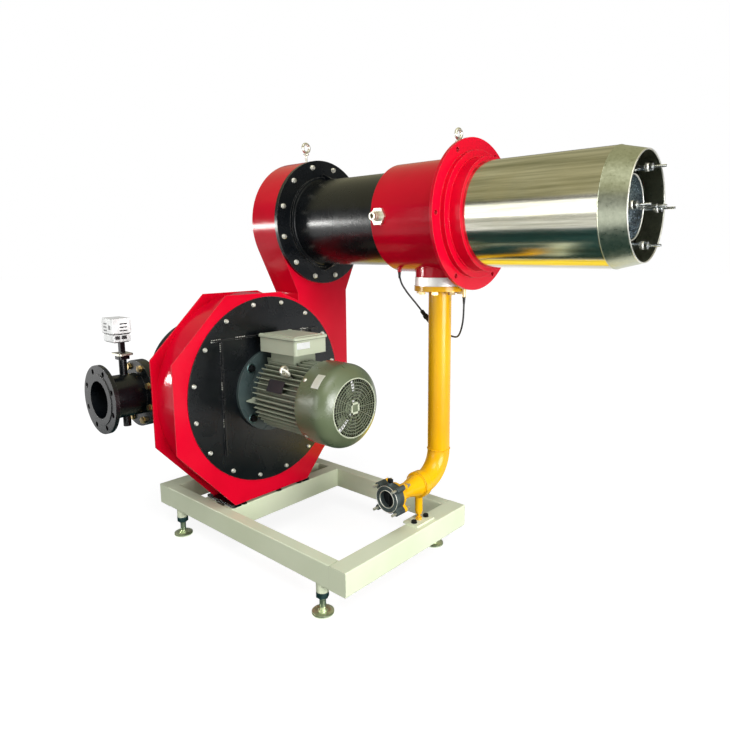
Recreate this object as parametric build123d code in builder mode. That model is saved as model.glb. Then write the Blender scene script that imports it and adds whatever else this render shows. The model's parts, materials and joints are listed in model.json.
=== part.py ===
"""Industrial gas burner on a floor frame: blower, burner head and gas train.

Origin: centre of the furnace face of the mounting flange.
+X is the firing direction, +Z is up, millimetres.
"""
import os
from math import acos, atan2, cos, hypot, radians, sin, tan

from build123d import *

# --- driving dimensions -------------------------------------------------------
FLOOR_Z = -1390.0          # floor below the burner axis
FIT = 0.05                 # radial clearance of a running fit
CLEARANCE = 1.0            # play round a bolt or a stud in its hole
SHEET = 5.0                # casing sheet and plates

# floor frame, welded from rectangular tube
FRAME_FRONT = -100.0
FRAME_LENGTH = 1200.0
FRAME_NEAR = -600.0
FRAME_WIDTH = 715.0
TUBE_HEIGHT = 90.0
TUBE_WALL = 4.0
SIDE_TUBE = 50.0
END_TUBE = 80.0
CROSS_TUBE = 60.0
FRAME_TOP = FLOOR_Z + 210.0
FRAME_BOTTOM = FRAME_TOP - TUBE_HEIGHT
FRAME_REAR = FRAME_FRONT - FRAME_LENGTH
FRAME_FAR = FRAME_NEAR + FRAME_WIDTH

# levelling feet
FOOT_INSET = 140.0
FOOT_STUD_R = 12.0
FOOT_PAD_R = 40.0
FOOT_PAD_H = 12.0
FOOT_TRAVEL = 20.0
FOOT_NUT_ACROSS = 41.0
FOOT_NUT_H = 22.0
FOOT_BOSS_R = 23.0         # threaded sleeve welded under the rail
FOOT_BOSS_H = 36.0

# blower casing
FAN_Y = -330.0
FAN_Z = -705.0
CASING_FRONT = -809.0      # outer face of the octagonal front plate
CASING_BACK = -972.0       # outer face of the octagonal back plate
WALL = 4.0                 # rolled wall between the side sheets
SCROLL_STEP = 24.0         # growth of the scroll's radius from quarter to quarter
PLATE_HALF = 450.0
PLATE_TOP = 410.0
PLATE_BOTTOM = -464.0
PLATE_FOOT = 200.0         # half length of the plate's lower and upper edges
PLATE_SHOULDER = 167.0
PLATE_TOP_END = 75.0       # where the upper edge meets the round shoulder
PLATE_HIP = -185.0
PLATE_EYE_R = 405.0        # round shoulder of the front plate beside the duct
WHEEL_OPENING_R = 350.0
COVER_R = 394.0
COVER_BOLTS = 16
COVER_BOLT_CIRCLE_R = 372.0
FOOT_BAR_WIDTH = 40.0

# outlet duct and plenum head
DUCT_HALF = 150.0
HEAD_R = 268.0
HEAD_SLOPE = radians(25.6)  # the duct's sides spread towards the head
SCROLL_R = DUCT_HALF - FAN_Y - 2.5 * SCROLL_STEP

# blower wheel and air inlet
WHEEL_R = 300.0
WHEEL_EYE_R = 165.0
INLET_RING_R = 205.0
WHEEL_BLADES = 12
WHEEL_DISC_X = -836.0
WHEEL_SHROUD_X = -908.0
WHEEL_HUB_LENGTH = 50.0
WHEEL_TAPER = 20.0         # the shroud leans back towards the eye
DRUM_R = 262.0
DRUM_LENGTH = 375.0
DRUM_WALL = 3.0
INTAKE_R = 180.0
GUARD_RINGS = 7

# motor
MOTOR_FLANGE_R = 175.0
MOTOR_BOLT_CIRCLE_R = 150.0
MOTOR_BODY_R = 128.0
MOTOR_FIN_R = 150.0
MOTOR_FINS = 44
MOTOR_BODY_LENGTH = 345.0
MOTOR_NECK = 72.0          # flange face to the first fin
MOTOR_NECK_R = 112.0
TERMINAL_HEIGHT = 70.0
MOTOR_LENGTH = 500.0       # flange face to the end of the cowl
COWL_R = 163.0
COWL_MOUTH_R = 116.0
COWL_TAPER = 62.0
GRILLE_RINGS = 9
GRILLE_WIRE = 3.0
COWL_WALL = 2.5
SHAFT_R = 21.0
TERMINAL_LENGTH = 235.0
TERMINAL_WIDTH = 175.0
TERMINAL_GAP = 12.5        # first fin to the terminal box's foot
TERMINAL_TOP = 250.0       # above the motor axis

# air inlet valve, nominal bore 150
INLET_X = -1226.0
INLET_Z = -718.0
INLET_FACE_Y = -875.0
INLET_FLANGE_R = 142.5
INLET_FLANGE_T = 20.0
RAISED_FACE_R = 106.0
RAISED_FACE_T = 3.0        # the flange's bolting face lies this far behind its sealing face
INLET_BOLT_CIRCLE_R = 120.0
INLET_BOLTS = 8
INLET_BOLT_HOLE_R = 11.0
JOINT_BOLT_HOLE_R = 9.0    # between the valve and the drum's stub
INLET_BORE_R = 78.0
INLET_PIPE_R = 84.0
VALVE_LENGTH = 181.0
VALVE_STEM_INSET = 71.0    # stem to the joint with the stub
VALVE_NECK_R = 16.0
VALVE_PAD = 46.0
VALVE_PAD_T = 18.0
VALVE_COLUMN = 20.0        # square column that carries the actuator
VALVE_NECK_TOP = 173.0     # above the pipe axis
VALVE_BARREL_R = 90.0
VALVE_BOSS_BOTTOM = 132.0  # below the pipe axis
SEAT_R = 70.0
SEAT_LENGTH = 8.0
ACTUATOR_BOTTOM = 228.0    # above the pipe axis
ACTUATOR_SIZE = (100.0, 80.0, 100.0)
STEM_R = 7.0
DISC_T = 10.0
DISC_GAP = 0.3             # disc edge to seat

# burner head
BURNER_FLANGE_R = 269.0
BURNER_FLANGE_T = 16.0
BURNER_BOLTS = 12
BURNER_BOLT_CIRCLE_R = 242.0
AIR_TUBE_R = 183.0
AIR_TUBE_WALL = 5.0
MANIFOLD_R = 208.0
MANIFOLD_REAR = -328.0
MOUNT_FLANGE_R = 270.0
MOUNT_FLANGE_T = 12.0
MOUNT_BOLTS = 6
MOUNT_BOLT_CIRCLE_R = 247.5
MOUNT_HOLE_R = 9.0
SPIGOT_R = 225.0
SPIGOT_T = 18.0
SOCKET_R = 200.0
SOCKET_END = 63.0
BLAST_TUBE_R = 186.0
BLAST_TUBE_WALL = 4.0
BLAST_CONE_START = 516.0
BLAST_TIP = 595.0
BLAST_TIP_R = 167.0

# firing head inside the blast tube
CORE_R = 100.0
CORE_WALL = 3.0
CORE_REAR = 400.0
CORE_FRONT = 552.0
SWIRL_VANES = 12
LANCE_R = 8.0
LANCE_CIRCLE_R = 114.0
LANCE_TIP = 640.0
CENTRE_LANCE_TIP = 648.0
HEADER_X = -120.0
HEADER_LENGTH = 36.0
HEADER_FEED_R = 15.0

# ring bolts for lifting
PLENUM_EYE_X = -905.0
MANIFOLD_EYE_X = -80.0
MOTOR_EYE_X = -552.0

# gas train, nominal bores 80 and 50
GAS_X = -156.0
GAS_PIPE_R = 44.45
GAS_PIPE_WALL = 4.0
GAS_FLANGE_R = 100.0
GAS_FLANGE_T = 20.0
GAS_BOLTS = 8
GAS_BOLT_CIRCLE_R = 80.0
GAS_BOSS_BOTTOM = -MANIFOLD_R - 17.0
GAS_THREAD_DEPTH = 20.0
ADAPTER_T = 33.0
GAS_RUN_Z = -1026.0
ELBOW_R = 114.0
BRANCH_R = 30.15
BRANCH_WALL = 3.0
COLLAR_R = 52.0
COLLAR_LENGTH = 30.0
REDUCER_LENGTH = 60.0
GAS_VALVE_Y = -302.0
GAS_VALVE_T = 43.0
GAS_VALVE_R = 50.0
GAS_VALVE_BORE_R = 32.0
GAS_STUD_CIRCLE_R = 62.5
EAR_R = 10.0
EAR_FLANGE_T = 14.0
GAS_SEAT_R = 30.0
GAS_STEM_R = 6.0
GAS_DISC_T = 5.0
GAS_STUD_R = 5.0
LEG_R = 15.0
LEG_Y = -ELBOW_R - COLLAR_LENGTH / 2
LEG_PLATE = (70.0, 110.0, 8.0)

# flame sensor port and gas sensor leads
PORT_X = -286.0
CORD_R = 3.5
LEAD_EXIT = (-292.0, -82.0)
GLAND_DROP = 16.0          # the lead's gland below the manifold's wall
PLUG_LENGTH = 60.0
PLUG_R = 8.0
SENSOR_X = -46.0
SENSOR_DROP = 75.0         # below the manifold's gas boss

# bolts: shank radius, head across flats, head height
M16 = (8.0, 24.0, 10.0)
M12 = (6.0, 19.0, 8.0)

os.makedirs("parts", exist_ok=True)


# --- shared helpers -----------------------------------------------------------
def at_x(x, y=0.0, z=0.0):
    """Plane looking along +X, local axes Y and Z."""
    return Plane(origin=(x, y, z), x_dir=(0, 1, 0), z_dir=(1, 0, 0))


def at_y(y, x=0.0, z=0.0):
    """Plane looking along -Y, local axes X and Z."""
    return Plane(origin=(x, y, z), x_dir=(1, 0, 0), z_dir=(0, -1, 0))


def at_z(z, x=0.0, y=0.0):
    """Plane looking along +Z, local axes X and Y."""
    return Plane(origin=(x, y, z), x_dir=(1, 0, 0), z_dir=(0, 0, 1))


def save(piece, label):
    piece.part.label = label
    export_step(piece.part, f"parts/{label}.step")


def ring(plane, length, outer, inner=0.0, mode=Mode.ADD):
    """Disc, or tube where an inner radius is given."""
    with BuildSketch(plane) as disc:
        Circle(outer)
        if inner:
            Circle(inner, mode=Mode.SUBTRACT)
    extrude(disc.sketch, amount=length, mode=mode)


def spin_x(points, y=0.0, z=0.0, mode=Mode.ADD):
    """Solid of revolution about an axis along +X, from corners given as x and radius."""
    with BuildSketch(Plane(origin=(0, y, z), x_dir=(1, 0, 0), z_dir=(0, 0, 1))) as half:
        Polygon(*points, align=None)
    revolve(half.sketch, axis=Axis((0, y, z), (1, 0, 0)), mode=mode)


def spin_y(points, x, z, mode=Mode.ADD):
    """Solid of revolution about an axis along Y, from corners given as y and radius."""
    with BuildSketch(Plane(origin=(x, 0, z), x_dir=(0, 1, 0), z_dir=(1, 0, 0))) as half:
        Polygon(*points, align=None)
    revolve(half.sketch, axis=Axis((x, 0, z), (0, 1, 0)), mode=mode)


def bolt_group(plane, count, circle_r, grip, size, phase=0.0, nuts=False):
    """Hex bolts with washers on the plane and shanks through a joint of thickness grip."""
    shank, across, head = size
    washer = shank / 4
    with BuildPart() as group:
        spots = PolarLocations(circle_r, count, start_angle=phase)
        with BuildSketch(plane):
            with spots:
                Circle(across * 0.62)
        extrude(amount=washer)
        with BuildSketch(plane.offset(washer)):
            with spots:
                RegularPolygon(across / 2, 6, major_radius=False)
        extrude(amount=head)
        with BuildSketch(plane):
            with spots:
                Circle(shank)
        extrude(amount=-grip)
        if nuts:
            with BuildSketch(plane.offset(-grip)):
                with spots:
                    RegularPolygon(across / 2, 6, major_radius=False)
            extrude(amount=-head)
    return group


# --- floor frame --------------------------------------------------------------
def frame_tube(x, y, length, width, along_y):
    """Capped rectangular tube with a vent hole below, its near rear lower corner at x, y."""
    size = (width, length) if along_y else (length, width)
    core = (size[0] - 2 * TUBE_WALL, size[1] - 2 * TUBE_WALL)
    with BuildPart() as tube:
        with BuildSketch(at_z(FRAME_BOTTOM, x + size[0] / 2, y + size[1] / 2)):
            Rectangle(*size)
        extrude(amount=TUBE_HEIGHT)
        long_edges = tube.edges().filter_by(Axis.Y if along_y else Axis.X)
        fillet(long_edges, TUBE_WALL)
        with BuildSketch(at_z(FRAME_BOTTOM + TUBE_WALL, x + size[0] / 2, y + size[1] / 2)):
            Rectangle(*core)
        extrude(amount=TUBE_HEIGHT - 2 * TUBE_WALL, mode=Mode.SUBTRACT)
        ring(at_z(FRAME_BOTTOM, x + size[0] / 2, y + size[1] / 2), TUBE_WALL, TUBE_WALL, mode=Mode.SUBTRACT)
    return tube


def foot_spots():
    near = FRAME_NEAR + SIDE_TUBE / 2
    far = FRAME_FAR - SIDE_TUBE / 2
    front = FRAME_FRONT - FOOT_INSET
    rear = FRAME_REAR + FOOT_INSET
    return {
        "front_near": (front, near),
        "front_far": (front, far),
        "rear_near": (rear, near),
        "rear_far": (rear, far),
    }


def make_frame():
    inner_length = FRAME_LENGTH - 2 * END_TUBE
    inner_width = FRAME_WIDTH - 2 * SIDE_TUBE
    rail_x = FRAME_REAR + END_TUBE
    for label, y in (("frame_rail_near", FRAME_NEAR), ("frame_rail_far", FRAME_FAR - SIDE_TUBE)):
        rail = frame_tube(rail_x, y, inner_length, SIDE_TUBE, False)
        with BuildPart() as drilled:
            add(rail.part)
            for x, foot_y in foot_spots().values():
                if abs(foot_y - y) < SIDE_TUBE:
                    sleeve = at_z(FRAME_BOTTOM - FOOT_BOSS_H, x, foot_y)
                    ring(sleeve, FOOT_BOSS_H + TUBE_WALL, FOOT_BOSS_R)
                    ring(sleeve, FOOT_BOSS_H + TUBE_WALL, FOOT_STUD_R + CLEARANCE, mode=Mode.SUBTRACT)
        save(drilled, label)
    ends = (("frame_end_front", FRAME_FRONT - END_TUBE), ("frame_end_rear", FRAME_REAR))
    for label, x in ends:
        save(frame_tube(x, FRAME_NEAR, FRAME_WIDTH, END_TUBE, True), label)
    cross_y = FRAME_NEAR + SIDE_TUBE
    front_x = CASING_FRONT - CROSS_TUBE
    rear_x = CASING_BACK - CROSS_TUBE / 2
    for label, x in (("frame_cross_front", front_x), ("frame_cross_rear", rear_x)):
        save(frame_tube(x, cross_y, inner_width, CROSS_TUBE, True), label)


def make_feet():
    pad_top = FLOOR_Z + FOOT_PAD_H
    stud_top = FRAME_BOTTOM + 2 * FOOT_TRAVEL + TUBE_WALL
    for label, (x, y) in foot_spots().items():
        with BuildPart() as foot:
            ring(at_z(FLOOR_Z, x, y), FOOT_PAD_H, FOOT_PAD_R)
            chamfer(foot.edges().sort_by(Axis.Z)[-1], FOOT_PAD_H / 3, FOOT_PAD_H)
            ring(at_z(pad_top, x, y), FOOT_PAD_H / 2, FOOT_STUD_R * 1.5)
            ring(at_z(pad_top, x, y), stud_top - pad_top, FOOT_STUD_R)
        save(foot, f"levelling_foot_{label}")
    with BuildPart() as nuts:
        for x, y in foot_spots().values():
            with BuildSketch(at_z(FRAME_BOTTOM - FOOT_BOSS_H, x, y)):
                RegularPolygon(FOOT_NUT_ACROSS / 2, 6, major_radius=False)
                Circle(FOOT_STUD_R + FIT, mode=Mode.SUBTRACT)
            extrude(amount=-FOOT_NUT_H)
    save(nuts, "foot_lock_nuts")


# --- blower casing ------------------------------------------------------------
def casing_profile(inset, mode=Mode.ADD):
    """Scroll, duct and plenum head in the Y-Z plane, drawn inside their outline by inset."""
    half = SCROLL_STEP / 2
    r1 = SCROLL_R - inset
    side = DUCT_HALF - inset
    head_r = HEAD_R - inset
    flank_z = (side * cos(HEAD_SLOPE) - head_r) / sin(HEAD_SLOPE)
    shoulder = (head_r * cos(HEAD_SLOPE), -head_r * sin(HEAD_SLOPE))
    with Locations((FAN_Y - half, FAN_Z - half)):
        Circle(r1, mode=mode)
    with BuildLine() as scroll:
        rise = JernArc((FAN_Y - half - r1, FAN_Z - half), (0, -1), r1 + SCROLL_STEP, 90)
        run = JernArc(rise @ 1, (1, 0), r1 + 2 * SCROLL_STEP, 90)
        Polyline(run @ 1, (FAN_Y, FAN_Z + half), rise @ 0)
    make_face(scroll.edges(), mode=mode)
    Polygon((side, FAN_Z + half), (side, flank_z), shoulder, (-shoulder[0], shoulder[1]),
            (-side, flank_z), (-side, FAN_Z + half), align=None, mode=mode)
    Circle(head_r, mode=mode)


def tangent_point(y, z, turn):
    """Point where a line from y, z touches the round shoulder of the front plate."""
    angle = atan2(z, y) + turn * acos(PLATE_EYE_R / hypot(y, z))
    return (PLATE_EYE_R * cos(angle), PLATE_EYE_R * sin(angle))


def plate_profile():
    """Octagonal side plate, cut round where it passes the outlet duct."""
    top_end = (PLATE_TOP_END, PLATE_TOP)
    Polygon(
        (-PLATE_FOOT, PLATE_TOP),
        top_end,
        tangent_point(*top_end, -1),
        tangent_point(PLATE_HALF, PLATE_HIP, 1),
        (PLATE_HALF, PLATE_HIP),
        (PLATE_FOOT, PLATE_BOTTOM),
        (-PLATE_FOOT, PLATE_BOTTOM),
        (-PLATE_HALF, PLATE_HIP),
        (-PLATE_HALF, PLATE_SHOULDER),
        align=None,
    )
    Circle(PLATE_EYE_R)


def make_casing():
    depth = CASING_FRONT - CASING_BACK - 2 * SHEET
    front_sheet = CASING_FRONT - 2 * SHEET
    with BuildPart() as shell:
        with BuildSketch(at_x(CASING_BACK + SHEET)):
            casing_profile(0)
        extrude(amount=depth)
        with BuildSketch(at_x(CASING_BACK + 2 * SHEET)):
            casing_profile(WALL)
        extrude(amount=depth - 2 * SHEET, mode=Mode.SUBTRACT)
        ring(at_x(front_sheet, FAN_Y, FAN_Z), SHEET, WHEEL_OPENING_R, mode=Mode.SUBTRACT)
        ring(at_x(CASING_BACK + SHEET, FAN_Y, FAN_Z), SHEET, INLET_RING_R, mode=Mode.SUBTRACT)
        ring(at_x(front_sheet), SHEET, AIR_TUBE_R - AIR_TUBE_WALL, mode=Mode.SUBTRACT)
        with BuildSketch(at_x(front_sheet)):
            with PolarLocations(BURNER_BOLT_CIRCLE_R, BURNER_BOLTS, start_angle=180 / BURNER_BOLTS):
                Circle(M16[0])
            with Locations((FAN_Y, FAN_Z)):
                with PolarLocations(COVER_BOLT_CIRCLE_R, COVER_BOLTS, start_angle=180 / COVER_BOLTS):
                    Circle(M12[0])
        extrude(amount=SHEET, mode=Mode.SUBTRACT)
    save(shell, "casing_shell")

    with BuildPart() as front:
        with BuildSketch(at_x(CASING_FRONT - SHEET, FAN_Y, FAN_Z)):
            plate_profile()
            Circle(WHEEL_OPENING_R, mode=Mode.SUBTRACT)
            with PolarLocations(COVER_BOLT_CIRCLE_R, COVER_BOLTS, start_angle=180 / COVER_BOLTS):
                Circle(M12[0] + CLEARANCE, mode=Mode.SUBTRACT)
        extrude(amount=SHEET)
    save(front, "fan_front_plate")

    with BuildPart() as back:
        with BuildSketch(at_x(CASING_BACK, FAN_Y, FAN_Z)):
            plate_profile()
            Circle(INLET_RING_R, mode=Mode.SUBTRACT)
        extrude(amount=SHEET)
    save(back, "fan_back_plate")


def make_cover():
    rib = 6.0
    rib_height = 10.0
    rib_at = 237.0
    long_rib = 2 * (COVER_BOLT_CIRCLE_R ** 2 - rib_at ** 2) ** 0.5 - 4 * M12[0]
    with BuildPart() as cover:
        with BuildSketch(at_x(CASING_FRONT, FAN_Y, FAN_Z)):
            Circle(COVER_R)
            Circle(SHAFT_R + CLEARANCE, mode=Mode.SUBTRACT)
            with PolarLocations(COVER_BOLT_CIRCLE_R, COVER_BOLTS, start_angle=180 / COVER_BOLTS):
                Circle(M12[0] + CLEARANCE, mode=Mode.SUBTRACT)
            with PolarLocations(MOTOR_BOLT_CIRCLE_R, 4, start_angle=45):
                Circle(M16[0], mode=Mode.SUBTRACT)
        extrude(amount=SHEET)
        with BuildSketch(at_x(CASING_FRONT + SHEET, FAN_Y, FAN_Z)):
            with Locations((0, rib_at)):
                Rectangle(long_rib, rib)
            with Locations((rib_at, 0), (-rib_at, 0)):
                Rectangle(rib, 2 * rib_at)
        extrude(amount=rib_height)
    save(cover, "access_cover")
    bolts = bolt_group(at_x(CASING_FRONT + SHEET, FAN_Y, FAN_Z), COVER_BOLTS, COVER_BOLT_CIRCLE_R,
                       3 * SHEET, M12, 180 / COVER_BOLTS)
    save(bolts, "cover_bolts")


def make_casing_feet():
    bar_bottom = FRAME_TOP
    bar_height = FAN_Z + PLATE_BOTTOM - FRAME_TOP
    rear = CASING_BACK - CROSS_TUBE / 2
    length = CASING_FRONT - rear
    near = FAN_Y - PLATE_FOOT + FOOT_BAR_WIDTH / 4
    far = FAN_Y + PLATE_FOOT - FOOT_BAR_WIDTH / 4
    with BuildPart() as bars:
        with BuildSketch(at_z(bar_bottom, rear + length / 2)):
            with Locations((0, near), (0, far)):
                Rectangle(length, FOOT_BAR_WIDTH)
        extrude(amount=bar_height)
    save(bars, "casing_feet")


# --- blower wheel and air inlet -----------------------------------------------
def make_wheel():
    disc_t = 6.0
    sheet = 4.0
    hub_r = 2 * SHAFT_R
    eye_x = WHEEL_SHROUD_X - WHEEL_TAPER
    blade_root = 155.0
    with BuildPart() as wheel:
        ring(at_x(WHEEL_DISC_X, FAN_Y, FAN_Z), disc_t, WHEEL_R)
        ring(at_x(WHEEL_DISC_X - WHEEL_HUB_LENGTH + disc_t, FAN_Y, FAN_Z), WHEEL_HUB_LENGTH, hub_r)
        lean = radians(38)
        with BuildSketch(at_x(eye_x + sheet / 2, FAN_Y, FAN_Z)):
            for i in range(WHEEL_BLADES):
                start = radians(i * 360 / WHEEL_BLADES)
                tip_r = WHEEL_R - sheet
                mid_r = (blade_root + tip_r) / 2
                with BuildLine():
                    ThreePointArc(
                        (blade_root * cos(start), blade_root * sin(start)),
                        (mid_r * cos(start - lean * 0.35), mid_r * sin(start - lean * 0.35)),
                        (tip_r * cos(start - lean), tip_r * sin(start - lean)),
                    )
                trace(line_width=sheet)
        extrude(amount=WHEEL_DISC_X - eye_x - sheet / 2)
        spin_x([(eye_x, WHEEL_EYE_R), (WHEEL_SHROUD_X, WHEEL_R), (eye_x, WHEEL_R)],
               FAN_Y, FAN_Z, Mode.SUBTRACT)
        spin_x([(eye_x, WHEEL_EYE_R), (WHEEL_SHROUD_X, WHEEL_R), (WHEEL_SHROUD_X + sheet, WHEEL_R),
                (eye_x + sheet, WHEEL_EYE_R)], FAN_Y, FAN_Z)
        ring(at_x(eye_x, FAN_Y, FAN_Z), WHEEL_DISC_X - eye_x + disc_t, SHAFT_R, mode=Mode.SUBTRACT)
    save(wheel, "impeller")


def make_inlet_cone():
    sheet = 4.0
    rim_r = INLET_RING_R + 35
    throat_r = WHEEL_EYE_R - 5
    throat_x = WHEEL_SHROUD_X - WHEEL_TAPER - 3.0
    with BuildPart() as cone:
        spin_x([
            (CASING_BACK - sheet, rim_r),
            (CASING_BACK, rim_r),
            (CASING_BACK, INLET_RING_R - sheet),
            (throat_x, throat_r),
            (throat_x, throat_r - sheet),
            (CASING_BACK - sheet, INLET_RING_R - 2 * sheet),
        ], FAN_Y, FAN_Z)
    save(cone, "inlet_cone")


def make_drum():
    rear = CASING_BACK - DRUM_LENGTH
    with BuildPart() as drum:
        ring(at_x(rear, FAN_Y, FAN_Z), DRUM_LENGTH, DRUM_R, DRUM_R - DRUM_WALL)
        ring(at_x(rear, FAN_Y, FAN_Z), DRUM_WALL, DRUM_R, INTAKE_R)
        ring(at_y(FAN_Y, INLET_X, INLET_Z), DRUM_R * 1.2, INLET_BORE_R, mode=Mode.SUBTRACT)
    save(drum, "inlet_drum")

    wire = 4.0
    with BuildPart() as guard:
        with BuildSketch(at_x(rear, FAN_Y, FAN_Z)):
            Circle(INTAKE_R + 2 * wire)
            Circle(INTAKE_R + wire, mode=Mode.SUBTRACT)
            wire_rings(INTAKE_R, GUARD_RINGS, wire)
            for turn in range(0, 180, 45):
                Rectangle(2 * INTAKE_R + 3 * wire, wire, rotation=turn)
        extrude(amount=-wire)
    save(guard, "intake_guard")


def make_inlet_stub():
    joint = INLET_FACE_Y + VALVE_LENGTH
    with BuildPart() as stub:
        ring(at_y(joint + INLET_FLANGE_T, INLET_X, INLET_Z), INLET_FLANGE_T, INLET_FLANGE_R)
        ring(at_y(FAN_Y, INLET_X, INLET_Z), FAN_Y - joint - INLET_FLANGE_T, INLET_PIPE_R)
        ring(at_x(INLET_X - DRUM_LENGTH, FAN_Y, FAN_Z), 2 * DRUM_LENGTH, DRUM_R, mode=Mode.SUBTRACT)
        ring(at_y(FAN_Y, INLET_X, INLET_Z), FAN_Y - joint, INLET_BORE_R, mode=Mode.SUBTRACT)
        drill_inlet_flange(joint + INLET_FLANGE_T, JOINT_BOLT_HOLE_R)
    save(stub, "inlet_stub")


def drill_inlet_flange(back_y, hole_r):
    with BuildSketch(at_y(back_y, INLET_X, INLET_Z)) as holes:
        with PolarLocations(INLET_BOLT_CIRCLE_R, INLET_BOLTS, start_angle=180 / INLET_BOLTS):
            Circle(hole_r)
    extrude(holes.sketch, amount=INLET_FLANGE_T, mode=Mode.SUBTRACT)


def make_air_valve():
    joint = INLET_FACE_Y + VALVE_LENGTH
    stem_y = joint - VALVE_STEM_INSET
    neck_top = INLET_Z + VALVE_NECK_TOP
    foot = INLET_Z - VALVE_BOSS_BOTTOM
    top = INLET_Z + ACTUATOR_BOTTOM
    front_back = INLET_FACE_Y + INLET_FLANGE_T
    with BuildPart() as body:
        ring(at_y(joint, INLET_X, INLET_Z), INLET_FLANGE_T, INLET_FLANGE_R)
        ring(at_y(front_back, INLET_X, INLET_Z), INLET_FLANGE_T - RAISED_FACE_T, INLET_FLANGE_R)
        ring(at_y(front_back, INLET_X, INLET_Z), INLET_FLANGE_T, RAISED_FACE_R)
        ring(at_y(joint, INLET_X, INLET_Z), VALVE_LENGTH, VALVE_BARREL_R)
        ring(at_z(INLET_Z, INLET_X, stem_y), VALVE_NECK_TOP, VALVE_NECK_R)
        ring(at_z(foot, INLET_X, stem_y), VALVE_BOSS_BOTTOM, VALVE_NECK_R)
        with BuildSketch(at_z(neck_top - VALVE_PAD_T, INLET_X, stem_y)):
            RectangleRounded(VALVE_PAD, VALVE_PAD, VALVE_PAD / 6)
        extrude(amount=VALVE_PAD_T)
        with BuildSketch(at_z(neck_top, INLET_X, stem_y)):
            Rectangle(VALVE_COLUMN, VALVE_COLUMN)
        extrude(amount=top - neck_top)
        ring(at_y(joint, INLET_X, INLET_Z), VALVE_LENGTH, INLET_BORE_R, mode=Mode.SUBTRACT)
        ring(at_y(stem_y + SEAT_LENGTH / 2, INLET_X, INLET_Z), SEAT_LENGTH, INLET_BORE_R, SEAT_R)
        ring(at_z(foot + STEM_R, INLET_X, stem_y), top - foot, STEM_R + FIT, mode=Mode.SUBTRACT)
        drill_inlet_flange(joint, JOINT_BOLT_HOLE_R)
        drill_inlet_flange(front_back, INLET_BOLT_HOLE_R)
    save(body, "air_valve_body")

    stem_bottom = foot + STEM_R + CLEARANCE
    with BuildPart() as disc:
        ring(at_y(stem_y + DISC_T / 2, INLET_X, INLET_Z), DISC_T, SEAT_R - DISC_GAP)
        ring(at_z(stem_bottom, INLET_X, stem_y), top - CLEARANCE - stem_bottom, STEM_R)
    save(disc, "air_valve_disc")

    bolts = bolt_group(at_y(joint - INLET_FLANGE_T, INLET_X, INLET_Z), INLET_BOLTS, INLET_BOLT_CIRCLE_R,
                       2 * INLET_FLANGE_T, M16, 180 / INLET_BOLTS, nuts=True)
    save(bolts, "air_valve_bolts")

    plate_t = 8.0
    with BuildPart() as bracket:
        with BuildSketch(at_z(neck_top, INLET_X, stem_y)):
            RectangleRounded(4 * VALVE_COLUMN, 3 * VALVE_COLUMN, plate_t)
            Rectangle(VALVE_COLUMN, VALVE_COLUMN, mode=Mode.SUBTRACT)
        extrude(amount=plate_t)
    save(bracket, "actuator_bracket")

    length, width, height = ACTUATOR_SIZE
    with BuildPart() as actuator:
        with BuildSketch(at_z(top, INLET_X - length / 8, stem_y - width / 8)):
            RectangleRounded(length, width, width / 10)
        extrude(amount=height)
        chamfer(actuator.faces().sort_by(Axis.Z)[-1].edges(), width / 16)
    save(actuator, "actuator")


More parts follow.
